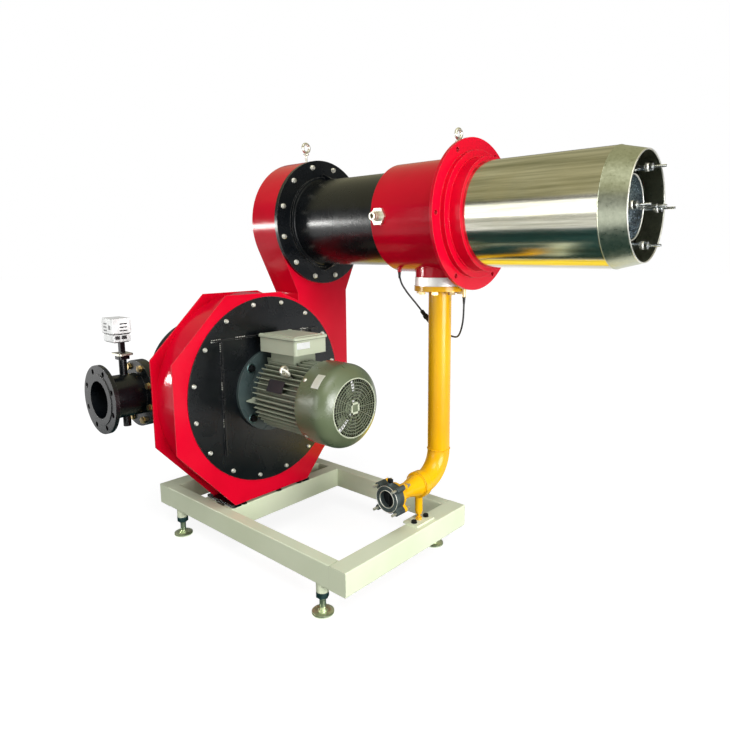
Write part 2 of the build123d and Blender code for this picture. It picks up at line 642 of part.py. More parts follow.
# --- motor --------------------------------------------------------------------
def make_motor():
    seat = CASING_FRONT + SHEET
    flange_t = 15.0
    neck_end = seat + MOTOR_NECK
    body_end = seat + MOTOR_BODY_LENGTH + 20
    cowl_start = seat + MOTOR_BODY_LENGTH
    with BuildPart() as flange:
        ring(at_x(seat, FAN_Y, FAN_Z), flange_t, MOTOR_FLANGE_R)
        spin_x([(seat + flange_t, 0), (seat + flange_t, MOTOR_NECK_R), (seat + MOTOR_NECK / 2, MOTOR_NECK_R),
                (neck_end, MOTOR_BODY_R), (neck_end, 0)], FAN_Y, FAN_Z)
        ring(at_x(seat, FAN_Y, FAN_Z), neck_end - seat, SHAFT_R + FIT, mode=Mode.SUBTRACT)
        with BuildSketch(at_x(seat, FAN_Y, FAN_Z)):
            with PolarLocations(MOTOR_BOLT_CIRCLE_R, 4, start_angle=45):
                Circle(M16[0] + CLEARANCE)
        extrude(amount=flange_t, mode=Mode.SUBTRACT)
    save(flange, "motor_flange")
    bolts = bolt_group(at_x(seat + flange_t, FAN_Y, FAN_Z), 4, MOTOR_BOLT_CIRCLE_R,
                       flange_t + SHEET, M16, 45)
    save(bolts, "motor_flange_bolts")

    fin_t = 3.0
    pad_top = TERMINAL_TOP - TERMINAL_HEIGHT
    foot_length = TERMINAL_LENGTH * 0.6
    terminal_x = neck_end + TERMINAL_GAP + foot_length / 2
    cowl_inner = COWL_R - COWL_WALL
    with BuildPart() as body:
        ring(at_x(neck_end, FAN_Y, FAN_Z), body_end - neck_end, MOTOR_BODY_R)
        with BuildSketch(at_x(neck_end, FAN_Y, FAN_Z)):
            with PolarLocations((MOTOR_BODY_R + MOTOR_FIN_R) / 2 - 2, MOTOR_FINS):
                Rectangle(MOTOR_FIN_R - MOTOR_BODY_R + 4, fin_t)
        extrude(amount=cowl_start - neck_end)
        with BuildSketch(at_x(cowl_start, FAN_Y, FAN_Z)):
            Circle(cowl_inner)
            Rectangle(3 * cowl_inner, COWL_R / 6, mode=Mode.INTERSECT)
            Rectangle(COWL_R / 6, MOTOR_BODY_R)
            Circle(MOTOR_BODY_R)
        extrude(amount=body_end - cowl_start)
        with BuildSketch(at_z(FAN_Z, terminal_x, FAN_Y)):
            Rectangle(foot_length, TERMINAL_WIDTH * 0.65)
        extrude(amount=pad_top)
        ring(at_x(neck_end, FAN_Y, FAN_Z), body_end - neck_end, SHAFT_R + FIT, mode=Mode.SUBTRACT)
    save(body, "motor_body")

    lid_t = 10.0
    with BuildPart() as box:
        with BuildSketch(at_z(FAN_Z + pad_top, terminal_x, FAN_Y)):
            RectangleRounded(TERMINAL_LENGTH - 10, TERMINAL_WIDTH - 10, 12)
        extrude(amount=TERMINAL_TOP - pad_top - lid_t)
    save(box, "terminal_box")
    with BuildPart() as lid:
        with BuildSketch(at_z(FAN_Z + TERMINAL_TOP - lid_t, terminal_x, FAN_Y)):
            RectangleRounded(TERMINAL_LENGTH, TERMINAL_WIDTH, 14)
        extrude(amount=lid_t)
        fillet(lid.faces().sort_by(Axis.Z)[-1].edges(), lid_t / 3)
    save(lid, "terminal_box_lid")

    shaft_start = WHEEL_DISC_X - WHEEL_HUB_LENGTH
    shaft_end = body_end + 50.0
    with BuildPart() as shaft:
        ring(at_x(shaft_start, FAN_Y, FAN_Z), shaft_end - shaft_start, SHAFT_R)
        chamfer(shaft.edges().group_by(Axis.X)[0], 2)
    save(shaft, "motor_shaft")

    with BuildPart() as fan:
        ring(at_x(body_end + 8, FAN_Y, FAN_Z), 38, SHAFT_R * 1.8)
        ring(at_x(body_end + 8, FAN_Y, FAN_Z), 4, COWL_R * 0.5)
        with BuildSketch(at_x(body_end + 8, FAN_Y, FAN_Z)):
            with PolarLocations(COWL_R * 0.45, 8):
                Rectangle(COWL_R * 0.6, 4)
        extrude(amount=34)
        ring(at_x(body_end + 8, FAN_Y, FAN_Z), 38, SHAFT_R, mode=Mode.SUBTRACT)
    save(fan, "motor_cooling_fan")

    end = seat + MOTOR_LENGTH
    bend = end - COWL_TAPER
    opening = COWL_MOUTH_R - 2 * GRILLE_WIRE
    with BuildPart() as cowl:
        with BuildSketch(Plane(origin=(0, FAN_Y, FAN_Z), x_dir=(1, 0, 0), z_dir=(0, 0, 1))):
            cowl_section(cowl_start, bend, end, 0, Mode.ADD)
            cowl_section(cowl_start, bend, end - COWL_WALL, COWL_WALL, Mode.SUBTRACT)
        revolve(axis=Axis((0, FAN_Y, FAN_Z), (1, 0, 0)))
        ring(at_x(end - COWL_WALL, FAN_Y, FAN_Z), COWL_WALL, opening, mode=Mode.SUBTRACT)
        with BuildSketch(at_x(end - COWL_WALL, FAN_Y, FAN_Z)):
            wire_rings(opening, GRILLE_RINGS, GRILLE_WIRE)
            for turn in range(0, 180, 30):
                Rectangle(2 * opening + GRILLE_WIRE, GRILLE_WIRE, rotation=turn)
            Rectangle(2 * SHAFT_R, 2 * SHAFT_R)
        extrude(amount=COWL_WALL)
    save(cowl, "motor_cowl")


def wire_rings(outer, count, wire):
    """Concentric wire rings, evenly spaced inside an opening."""
    for step in reversed(range(1, count)):
        Circle(step * outer / count + wire / 2)
        Circle(step * outer / count - wire / 2, mode=Mode.SUBTRACT)


def cowl_section(start, bend, end, inset, mode):
    """Half section of the cowl, drawn inside its outline by inset."""
    outer = COWL_R - inset
    mouth = COWL_MOUTH_R - inset
    with BuildLine() as section:
        Polyline((start, 0), (start, outer), (bend, outer))
        Spline((bend, outer), (end, mouth), tangents=((1, 0), (1, -1.6)))
        Polyline((end, mouth), (end, 0), (start, 0))
    make_face(section.edges(), mode=mode)


# --- burner head --------------------------------------------------------------
def make_air_tube():
    face = CASING_FRONT - SHEET
    front = face + BURNER_FLANGE_T
    neck_t = 12.0
    gusset = 60.0
    with BuildPart() as flange:
        ring(at_x(face), BURNER_FLANGE_T, BURNER_FLANGE_R)
        ring(at_x(front), neck_t, AIR_TUBE_R + 14)
        with BuildSketch(Plane(origin=(0, neck_t / 3, 0), x_dir=(1, 0, 0), z_dir=(0, -1, 0))):
            for side in (1, -1):
                Polygon((front, 0), (front + gusset, 0), (front + gusset, side * (AIR_TUBE_R + 4)),
                        (front, side * (AIR_TUBE_R + gusset / 2)), align=None)
        extrude(amount=neck_t * 2 / 3)
        ring(at_x(face), gusset * 2, AIR_TUBE_R, mode=Mode.SUBTRACT)
        with BuildSketch(at_x(face)):
            with PolarLocations(BURNER_BOLT_CIRCLE_R, BURNER_BOLTS, start_angle=180 / BURNER_BOLTS):
                Circle(M16[0] + CLEARANCE)
        extrude(amount=BURNER_FLANGE_T, mode=Mode.SUBTRACT)
    save(flange, "burner_flange")
    bolts = bolt_group(at_x(front), BURNER_BOLTS, BURNER_BOLT_CIRCLE_R, BURNER_FLANGE_T + SHEET,
                       M16, 180 / BURNER_BOLTS)
    save(bolts, "burner_flange_bolts")
    with BuildPart() as tube:
        ring(at_x(face), -face, AIR_TUBE_R, AIR_TUBE_R - AIR_TUBE_WALL)
    save(tube, "air_tube")


def make_manifold():
    wall = 4.0
    rear_t = 6.0
    front = -MOUNT_FLANGE_T
    boss_r = GAS_FLANGE_R - 5
    gland_r = 8.0
    gland_z = (MANIFOLD_R ** 2 - LEAD_EXIT[1] ** 2) ** 0.5
    with BuildPart() as shell:
        ring(at_x(MANIFOLD_REAR), front - MANIFOLD_REAR, MANIFOLD_R)
        ring(at_z(GAS_BOSS_BOTTOM, GAS_X), -GAS_BOSS_BOTTOM, boss_r)
        ring(at_z(-gland_z - GLAND_DROP, *LEAD_EXIT), gland_z / 2, gland_r)
        ring(at_x(MANIFOLD_REAR + rear_t), front - MANIFOLD_REAR, MANIFOLD_R - wall, mode=Mode.SUBTRACT)
        ring(at_x(MANIFOLD_REAR), rear_t, AIR_TUBE_R, mode=Mode.SUBTRACT)
        ring(at_z(GAS_BOSS_BOTTOM, GAS_X), boss_r / 2, GAS_PIPE_R - GAS_PIPE_WALL, mode=Mode.SUBTRACT)
        with BuildSketch(at_z(GAS_BOSS_BOTTOM, GAS_X)):
            with PolarLocations(GAS_BOLT_CIRCLE_R, GAS_BOLTS, start_angle=180 / GAS_BOLTS):
                Circle(M16[0])
        extrude(amount=GAS_THREAD_DEPTH, mode=Mode.SUBTRACT)
    save(shell, "gas_manifold")

    with BuildPart() as flange:
        ring(at_x(front), MOUNT_FLANGE_T, MOUNT_FLANGE_R, AIR_TUBE_R)
        ring(at_x(0), SPIGOT_T, SPIGOT_R, BLAST_TUBE_R)
        ring(at_x(SPIGOT_T), SOCKET_END - SPIGOT_T, SOCKET_R, BLAST_TUBE_R)
        with BuildSketch(at_x(front)):
            with PolarLocations(MOUNT_BOLT_CIRCLE_R, MOUNT_BOLTS):
                Circle(MOUNT_HOLE_R)
        extrude(amount=MOUNT_FLANGE_T, mode=Mode.SUBTRACT)
    save(flange, "mounting_flange")


def make_blast_tube():
    wall = BLAST_TUBE_WALL
    with BuildPart() as tube:
        spin_x([
            (0, BLAST_TUBE_R),
            (BLAST_CONE_START, BLAST_TUBE_R),
            (BLAST_TIP, BLAST_TIP_R),
            (BLAST_TIP, BLAST_TIP_R - wall),
            (BLAST_CONE_START, BLAST_TUBE_R - wall),
            (0, BLAST_TUBE_R - wall),
        ])
    save(tube, "blast_tube")


def make_core():
    bar = 25.0
    bar_t = 4.0
    hub_r = 2 * LANCE_R
    vane_x = CORE_FRONT - 80.0
    inner = CORE_R - CORE_WALL
    bore = BLAST_TUBE_R - BLAST_TUBE_WALL
    with BuildPart() as core:
        with BuildSketch(at_x(CORE_REAR + bar)):
            Rectangle(3 * bore, bar_t, rotation=45)
            Rectangle(3 * bore, bar_t, rotation=-45)
            Circle(bore, mode=Mode.INTERSECT)
        extrude(amount=bar)
        ring(at_x(CORE_REAR), CORE_FRONT - CORE_REAR, CORE_R)
        ring(at_x(CORE_REAR), CORE_FRONT - CORE_REAR, inner, mode=Mode.SUBTRACT)
        ring(at_x(vane_x - bar / 2), bar, hub_r)
        for i in range(SWIRL_VANES):
            turn = i * 360 / SWIRL_VANES
            mid = (inner + hub_r) / 2
            spot = Plane(origin=(vane_x, mid * cos(radians(turn)), mid * sin(radians(turn))),
                         x_dir=(0, cos(radians(turn)), sin(radians(turn))), z_dir=(1, 0, 0))
            with Locations(spot.location):
                Box(inner - hub_r + 2 * CORE_WALL, bar_t / 2, bar, rotation=(35, 0, 0))
        ring(at_x(vane_x - bar), 2 * bar, LANCE_R + 1, mode=Mode.SUBTRACT)
    save(core, "firing_core")


def make_lances():
    ring_half = 16.0
    head_x = BLAST_TIP - 10
    head_length = 18.0
    with BuildPart() as lances:
        ring(at_x(HEADER_X), HEADER_LENGTH, LANCE_CIRCLE_R + ring_half, LANCE_CIRCLE_R - ring_half)
        middle = HEADER_X + HEADER_LENGTH / 2
        reach = AIR_TUBE_R
        ring(at_y(reach, middle, 0), 2 * reach, HEADER_FEED_R)
        ring(at_z(-reach, middle, 0), 2 * reach, HEADER_FEED_R)
        ring(at_x(HEADER_X), HEADER_LENGTH, 2 * HEADER_FEED_R)
        with BuildSketch(at_x(HEADER_X)):
            Circle(3 * reach)
            Circle(reach - AIR_TUBE_WALL, mode=Mode.SUBTRACT)
        extrude(amount=HEADER_LENGTH, mode=Mode.SUBTRACT)
        with BuildSketch(at_x(HEADER_X + HEADER_LENGTH)):
            Circle(LANCE_R)
            with PolarLocations(LANCE_CIRCLE_R, 4):
                Circle(LANCE_R)
        extrude(amount=head_x + head_length / 2 - HEADER_X - HEADER_LENGTH)
        with BuildSketch(at_x(head_x)):
            with PolarLocations(LANCE_CIRCLE_R, 4):
                Circle(LANCE_R * 1.4)
        extrude(amount=head_length)
        with BuildSketch(at_x(head_x + head_length)):
            with PolarLocations(LANCE_CIRCLE_R, 4):
                Circle(LANCE_R / 2)
        extrude(amount=LANCE_TIP - head_x - head_length)
        ring(at_x(head_x), LANCE_TIP - head_x - head_length, LANCE_R)
        ring(at_x(head_x), CENTRE_LANCE_TIP - head_x, LANCE_R * 0.6)
    save(lances, "gas_lances")


def make_port():
    hex_t = 10.0
    hex_across = 60.0
    nozzle_r = 15.0
    face_y = -MANIFOLD_R - hex_t
    with BuildPart() as port:
        with BuildSketch(at_y(-MANIFOLD_R + hex_t, PORT_X, 0)):
            RegularPolygon(hex_across / 2, 6, major_radius=False)
        extrude(amount=2 * hex_t)
        ring(at_y(face_y, PORT_X, 0), 2 * hex_t, nozzle_r * 1.2)
        ring(at_y(face_y - 2 * hex_t, PORT_X, 0), hex_t, nozzle_r)
        ring(at_x(MANIFOLD_REAR), -MANIFOLD_REAR, MANIFOLD_R, mode=Mode.SUBTRACT)
        ring(at_y(face_y, PORT_X, 0), 3 * hex_t, nozzle_r * 0.55, mode=Mode.SUBTRACT)
    save(port, "flame_sensor_port")


def make_lifting_eyes():
    """Ring bolts on the plenum head, on the manifold and between two fins of the motor."""
    wire = 6.0
    spots = (
        ((PLENUM_EYE_X, 0.0, 0.0), (0, 0, 1), HEAD_R, 42.0, 25.0),
        ((MANIFOLD_EYE_X, 0.0, 0.0), (0, 0, 1), MANIFOLD_R, 62.0, 23.0),
        ((MOTOR_EYE_X, FAN_Y, FAN_Z), (0, -sin(radians(45)), cos(radians(45))), MOTOR_BODY_R, 34.0, 22.0),
    )
    with BuildPart() as eyes:
        for axis_point, out, seat_r, stud, ring_r in spots:
            foot = Vector(*axis_point) + Vector(*out) * (seat_r - 1)
            centre = foot + Vector(*out) * (stud + ring_r)
            stand = Plane(origin=foot, x_dir=(1, 0, 0), z_dir=out)
            ring(stand, stud + wire, wire * 0.8)
            ring(stand.offset(stud - wire), wire, wire * 2)
            crown = centre + Vector(*out) * (ring_r - wire)
            with BuildSketch(Plane(origin=crown, x_dir=(1, 0, 0), z_dir=(0, -out[2], out[1]))):
                Circle(wire)
            revolve(axis=Axis(centre, (1, 0, 0)))
        ring(at_x(CASING_BACK), CASING_FRONT - CASING_BACK, HEAD_R, mode=Mode.SUBTRACT)
        ring(at_x(MANIFOLD_REAR), -MANIFOLD_REAR, MANIFOLD_R, mode=Mode.SUBTRACT)
        ring(at_x(MOTOR_EYE_X - MOTOR_BODY_R, FAN_Y, FAN_Z), 2 * MOTOR_BODY_R, MOTOR_BODY_R, mode=Mode.SUBTRACT)
    save(eyes, "lifting_eyes")


# --- gas train ----------------------------------------------------------------
def make_gas_riser():
    bore = GAS_PIPE_R - GAS_PIPE_WALL
    flange_top = GAS_BOSS_BOTTOM - ADAPTER_T
    flange_bottom = flange_top - GAS_FLANGE_T
    elbow_top = GAS_RUN_Z + ELBOW_R
    with BuildPart() as adapter:
        ring(at_z(flange_top, GAS_X), ADAPTER_T, GAS_FLANGE_R - 3, bore)
        drill_gas_joint(flange_top, ADAPTER_T)
    save(adapter, "gas_adapter")
    with BuildPart() as riser:
        ring(at_z(flange_bottom, GAS_X), GAS_FLANGE_T, GAS_FLANGE_R)
        ring(at_z(elbow_top, GAS_X), flange_bottom - elbow_top, GAS_PIPE_R)
        ring(at_z(elbow_top, GAS_X), flange_top - elbow_top, bore, mode=Mode.SUBTRACT)
        drill_gas_joint(flange_bottom, GAS_FLANGE_T)
    save(riser, "gas_riser")
    below = Plane(origin=(GAS_X, 0, flange_bottom), x_dir=(1, 0, 0), z_dir=(0, 0, -1))
    bolts = bolt_group(below, GAS_BOLTS, GAS_BOLT_CIRCLE_R, GAS_FLANGE_T + ADAPTER_T + GAS_THREAD_DEPTH - 2,
                       M16, 180 / GAS_BOLTS)
    save(bolts, "gas_flange_bolts")
    with BuildPart() as elbow:
        with BuildSketch(at_z(elbow_top, GAS_X)):
            Circle(GAS_PIPE_R)
            Circle(bore, mode=Mode.SUBTRACT)
        revolve(axis=Axis((GAS_X, -ELBOW_R, elbow_top), (-1, 0, 0)), revolution_arc=90)
    save(elbow, "gas_elbow")


def drill_gas_joint(bottom, thickness):
    with BuildSketch(at_z(bottom, GAS_X)) as holes:
        with PolarLocations(GAS_BOLT_CIRCLE_R, GAS_BOLTS, start_angle=180 / GAS_BOLTS):
            Circle(M16[0] + CLEARANCE)
    extrude(holes.sketch, amount=thickness, mode=Mode.SUBTRACT)


def eared_profile(body_r, bore, hole):
    """Round body with four drilled ears at the corners."""
    reach = GAS_STUD_CIRCLE_R * sin(radians(45))
    Circle(body_r)
    for turn in (45, -45):
        Rectangle(2 * GAS_STUD_CIRCLE_R, 2 * EAR_R, rotation=turn)
    with GridLocations(2 * reach, 2 * reach, 2, 2):
        Circle(EAR_R)
    with GridLocations(2 * reach, 2 * reach, 2, 2):
        Circle(hole, mode=Mode.SUBTRACT)
    Circle(bore, mode=Mode.SUBTRACT)


def make_gas_branch():
    inner = GAS_PIPE_R - GAS_PIPE_WALL
    branch_bore = BRANCH_R - BRANCH_WALL
    start = -ELBOW_R
    collar_end = start - COLLAR_LENGTH
    cone_end = collar_end - REDUCER_LENGTH
    flange_face = GAS_VALVE_Y + GAS_VALVE_T / 2
    flange_back = flange_face + EAR_FLANGE_T
    with BuildPart() as branch:
        spin_y([
            (start, inner),
            (start, COLLAR_R),
            (collar_end, COLLAR_R),
            (collar_end, GAS_PIPE_R),
            (cone_end, BRANCH_R),
            (flange_back, BRANCH_R),
            (flange_back, branch_bore),
            (cone_end, branch_bore),
            (collar_end, inner),
        ], GAS_X, GAS_RUN_Z)
        with BuildSketch(at_y(flange_back, GAS_X, GAS_RUN_Z)):
            eared_profile(GAS_VALVE_R - 2, branch_bore, GAS_STUD_R + CLEARANCE / 2)
        extrude(amount=EAR_FLANGE_T)
    save(branch, "gas_branch")

    neck_r = GAS_STEM_R * 1.8
    neck = GAS_VALVE_R + 8
    with BuildPart() as valve:
        with BuildSketch(at_y(flange_face, GAS_X, GAS_RUN_Z)):
            eared_profile(GAS_VALVE_R, GAS_VALVE_BORE_R, GAS_STUD_R + CLEARANCE / 2)
        extrude(amount=GAS_VALVE_T)
        ring(at_z(GAS_RUN_Z - neck, GAS_X, GAS_VALVE_Y), 2 * neck, neck_r)
        ring(at_y(flange_face, GAS_X, GAS_RUN_Z), GAS_VALVE_T, GAS_VALVE_BORE_R, mode=Mode.SUBTRACT)
        ring(at_y(GAS_VALVE_Y + GAS_DISC_T / 2, GAS_X, GAS_RUN_Z), GAS_DISC_T, GAS_VALVE_BORE_R, GAS_SEAT_R)
        ring(at_z(GAS_RUN_Z - neck + GAS_STEM_R, GAS_X, GAS_VALVE_Y), 2 * neck, GAS_STEM_R + FIT,
             mode=Mode.SUBTRACT)
    save(valve, "gas_valve_body")

    cap_t = 12.0
    stem_bottom = GAS_RUN_Z - neck + GAS_STEM_R + CLEARANCE
    cap_bottom = GAS_RUN_Z + neck + 2 * CLEARANCE
    with BuildPart() as disc:
        ring(at_y(GAS_VALVE_Y + GAS_DISC_T / 2, GAS_X, GAS_RUN_Z), GAS_DISC_T, GAS_SEAT_R - DISC_GAP)
        ring(at_z(stem_bottom, GAS_X, GAS_VALVE_Y), cap_bottom - stem_bottom, GAS_STEM_R)
        with BuildSketch(at_z(cap_bottom, GAS_X, GAS_VALVE_Y)):
            Rectangle(3 * GAS_STEM_R, 2 * GAS_STEM_R)
        extrude(amount=cap_t)
    save(disc, "gas_valve_disc")

    spare = 22.0
    nut_t = GAS_STUD_R * 1.6
    reach = GAS_STUD_CIRCLE_R * sin(radians(45))
    stud_length = GAS_VALVE_T + EAR_FLANGE_T + 2 * spare
    with BuildPart() as studs:
        with BuildSketch(at_y(flange_back + spare, GAS_X, GAS_RUN_Z)):
            with GridLocations(2 * reach, 2 * reach, 2, 2):
                Circle(GAS_STUD_R)
        extrude(amount=stud_length)
        with BuildSketch(at_y(flange_back + nut_t, GAS_X, GAS_RUN_Z)):
            with GridLocations(2 * reach, 2 * reach, 2, 2):
                RegularPolygon(GAS_STUD_R * 1.7, 6, major_radius=False)
        extrude(amount=nut_t)
    save(studs, "gas_valve_studs")


def make_support_leg():
    leg_bottom = FRAME_TOP + 42.0
    plate_x, plate_y, plate_t = LEG_PLATE
    screw_r = 7.0
    with BuildPart() as leg:
        ring(at_z(leg_bottom, GAS_X, LEG_Y), GAS_RUN_Z - leg_bottom, LEG_R)
        ring(at_y(0, GAS_X, GAS_RUN_Z), 2 * ELBOW_R, COLLAR_R, mode=Mode.SUBTRACT)
        ring(at_z(FRAME_TOP + plate_t, GAS_X, LEG_Y), leg_bottom - FRAME_TOP - plate_t, screw_r)
        for z in (FRAME_TOP + plate_t, leg_bottom - 9):
            with BuildSketch(at_z(z, GAS_X, LEG_Y)):
                RegularPolygon(LEG_R - 3, 6, major_radius=False)
            extrude(amount=9)
    save(leg, "support_leg")
    with BuildPart() as plate:
        with BuildSketch(at_z(FRAME_TOP, GAS_X, LEG_Y)):
            Rectangle(plate_x, plate_y)
            with Locations((6, plate_y * 0.34), (6, -plate_y * 0.34)):
                Circle(M12[0] + CLEARANCE, mode=Mode.SUBTRACT)
        extrude(amount=plate_t)
    save(plate, "leg_plate")
    bolts = bolt_group(at_z(FRAME_TOP + plate_t, GAS_X + 6, LEG_Y), 2, plate_y * 0.34,
                       plate_t, M12, 90)
    save(bolts, "leg_plate_bolts")


# --- sensor and its lead ------------------------------------------------------
def make_sensor():
    body_z = GAS_BOSS_BOTTOM - ADAPTER_T / 2
    adapter_r = GAS_FLANGE_R - 3
    body_r = 9.0
    with BuildPart() as sensor:
        ring(at_x(GAS_X + adapter_r - 2, 0, body_z), SENSOR_X - GAS_X - adapter_r + 2 + body_r, body_r)
        bottom = GAS_BOSS_BOTTOM - SENSOR_DROP
        ring(at_z(bottom, SENSOR_X), body_z - bottom, body_r * 0.7)
        ring(at_z(GAS_BOSS_BOTTOM - ADAPTER_T, GAS_X), ADAPTER_T, adapter_r, mode=Mode.SUBTRACT)
    save(sensor, "gas_sensor")


def cord(points, radius):
    """Round cord along straight runs joined by tangent arcs."""
    runs = [(Vector(*b) - Vector(*a)) for a, b in zip(points, points[1:])]
    radii = []
    for before, after in zip(runs, runs[1:]):
        turn = radians(before.get_angle(after))
        radii.append(0.45 * min(before.length, after.length) / tan(turn / 2))
    with BuildPart() as piece:
        with BuildLine():
            path = FilletPolyline(*points, radius=radii)
        with BuildSketch(Plane(origin=path @ 0, z_dir=path % 0)):
            Circle(radius)
        sweep(path=path)
    print("cord", round(path.length, 1), "bend radii", [round(r) for r in radii])
    return piece


def below_boss(x, y, drop):
    """Point of a lead, its height measured down from the manifold's gas boss."""
    return (x, y, GAS_BOSS_BOTTOM - drop)


def make_leads():
    exit_z = -(MANIFOLD_R ** 2 - LEAD_EXIT[1] ** 2) ** 0.5 - GLAND_DROP
    plug = Vector(*below_boss(-238, -8, 137))
    first = [
        (*LEAD_EXIT, exit_z),
        below_boss(*LEAD_EXIT, 15),
        below_boss(-266, -66, 63),
        below_boss(-246, -28, 111),
        tuple(plug),
    ]
    axis = (plug - Vector(*first[-2])).normalized()
    plug_end = plug + axis * PLUG_LENGTH
    save(cord(first, CORD_R), "lead_upper")
    with BuildPart() as connector:
        plane = Plane(origin=plug, z_dir=axis)
        ring(plane, PLUG_LENGTH, PLUG_R)
        ring(plane.offset(PLUG_LENGTH * 0.4), PLUG_LENGTH * 0.2, PLUG_R * 1.35)
    save(connector, "lead_connector")
    second = [
        tuple(plug_end),
        tuple(plug_end + axis * 33),
        below_boss(-170, 66, 231),
        below_boss(-118, 55, 241),
        below_boss(-80, 25, 223),
        below_boss(-56, 10, 175),
        below_boss(SENSOR_X, 0, 125),
        below_boss(SENSOR_X, 0, SENSOR_DROP),
    ]
    save(cord(second, CORD_R), "lead_lower")


make_frame()
make_feet()
make_casing()
make_cover()
make_casing_feet()
make_wheel()
make_inlet_cone()
make_drum()
make_inlet_stub()
make_air_valve()
make_motor()
make_air_tube()
make_manifold()
make_blast_tube()
make_core()
make_lances()
make_port()
make_lifting_eyes()
make_gas_riser()
make_gas_branch()
make_support_leg()
make_sensor()
make_leads()
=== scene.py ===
import json
import random
from math import cos, pi, radians, sin, sqrt

import bmesh
import bpy
from mathutils import Matrix, Vector


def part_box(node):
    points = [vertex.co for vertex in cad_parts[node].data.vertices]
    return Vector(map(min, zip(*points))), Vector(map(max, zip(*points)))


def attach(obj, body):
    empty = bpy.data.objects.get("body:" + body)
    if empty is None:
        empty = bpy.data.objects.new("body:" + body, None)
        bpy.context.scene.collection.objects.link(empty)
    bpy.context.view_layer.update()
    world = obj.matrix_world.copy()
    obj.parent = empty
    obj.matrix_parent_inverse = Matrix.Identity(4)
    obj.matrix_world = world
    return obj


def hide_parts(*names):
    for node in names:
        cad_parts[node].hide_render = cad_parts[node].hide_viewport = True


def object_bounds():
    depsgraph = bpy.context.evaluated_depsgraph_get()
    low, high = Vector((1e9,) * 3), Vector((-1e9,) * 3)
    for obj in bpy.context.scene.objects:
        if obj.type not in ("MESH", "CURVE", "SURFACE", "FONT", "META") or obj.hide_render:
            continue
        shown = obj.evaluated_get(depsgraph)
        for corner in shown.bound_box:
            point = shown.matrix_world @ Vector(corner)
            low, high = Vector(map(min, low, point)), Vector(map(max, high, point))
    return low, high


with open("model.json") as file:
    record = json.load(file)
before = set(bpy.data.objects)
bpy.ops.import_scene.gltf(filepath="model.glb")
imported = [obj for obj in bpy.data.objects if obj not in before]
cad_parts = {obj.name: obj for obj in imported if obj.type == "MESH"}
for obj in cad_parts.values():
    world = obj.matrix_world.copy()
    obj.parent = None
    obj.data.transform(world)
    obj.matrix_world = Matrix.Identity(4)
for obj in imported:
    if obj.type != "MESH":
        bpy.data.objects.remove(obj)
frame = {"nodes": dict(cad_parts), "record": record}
CAD_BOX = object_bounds()
NODES = frame["nodes"]
MM = 0.001


# --- sizes, in millimetres in the row frame ------------------------------------
def low(node):
    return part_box(node)[0] / MM


def high(node):
    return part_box(node)[1] / MM


FAN = (-330.0, -705.0)     # y and z of the axis of the blower and its motor
TUBE_R = (high("air_tube").z - low("air_tube").z) / 2
MANIFOLD_R = (high("gas_manifold").y - low("gas_manifold").y) / 2
GAS_X = (low("gas_riser").x + high("gas_riser").x) / 2
PIPE_R = 44.45
BOSS_R = 95.0
SPIGOT_R = 201.5
DRUM_R = 262.0
STUB_R = 85.5
BLAST_R = 186.0
BLAST_TIP_R = 167.0
CONE_START = 516.0         # along X, where the blast tube starts to narrow
CORE_RIM_R = 98.5
LANCE_CIRCLE_R = 114.0
COVER_RIB = 237            # from the blower's axis to the cover's ribs
FIN_R = 150
COWL_R = 163.2
GRILLE_R = 109
MOTOR_EYE_RISE = 175.0     # from the motor's axis to the middle of its lifting eye
CORD_R = 3.5


# --- camera, fitted to the straight edges of the photo --------------------------
CAMERA_YAW, CAMERA_PITCH, CAMERA_ROLL = 48.5, 9.3, -0.4
CAMERA_LENS = 29.45
CAMERA_SHIFT = (-0.0171, -0.0236)
CAMERA_PLACE = (1.1965, -1.8969, -0.1217)


def make_camera():
    yaw, pitch, roll = radians(CAMERA_YAW), radians(CAMERA_PITCH), radians(CAMERA_ROLL)
    forward = Vector((-cos(yaw) * cos(pitch), sin(yaw) * cos(pitch), -sin(pitch)))
    right = forward.cross(Vector((0, 0, 1))).normalized()
    up = right.cross(forward)
    level = right * cos(roll) + up * sin(roll)
    top = up * cos(roll) - right * sin(roll)
    data = bpy.data.cameras.new("camera")
    data.sensor_width = 36.0
    data.lens = CAMERA_LENS
    data.shift_x, data.shift_y = CAMERA_SHIFT
    camera = bpy.data.objects.new("camera", data)
    bpy.context.scene.collection.objects.link(camera)
    turn = Matrix((level, top, -forward)).transposed().to_4x4()
    camera.matrix_world = Matrix.Translation(CAMERA_PLACE) @ turn
    bpy.context.scene.camera = camera


make_camera()


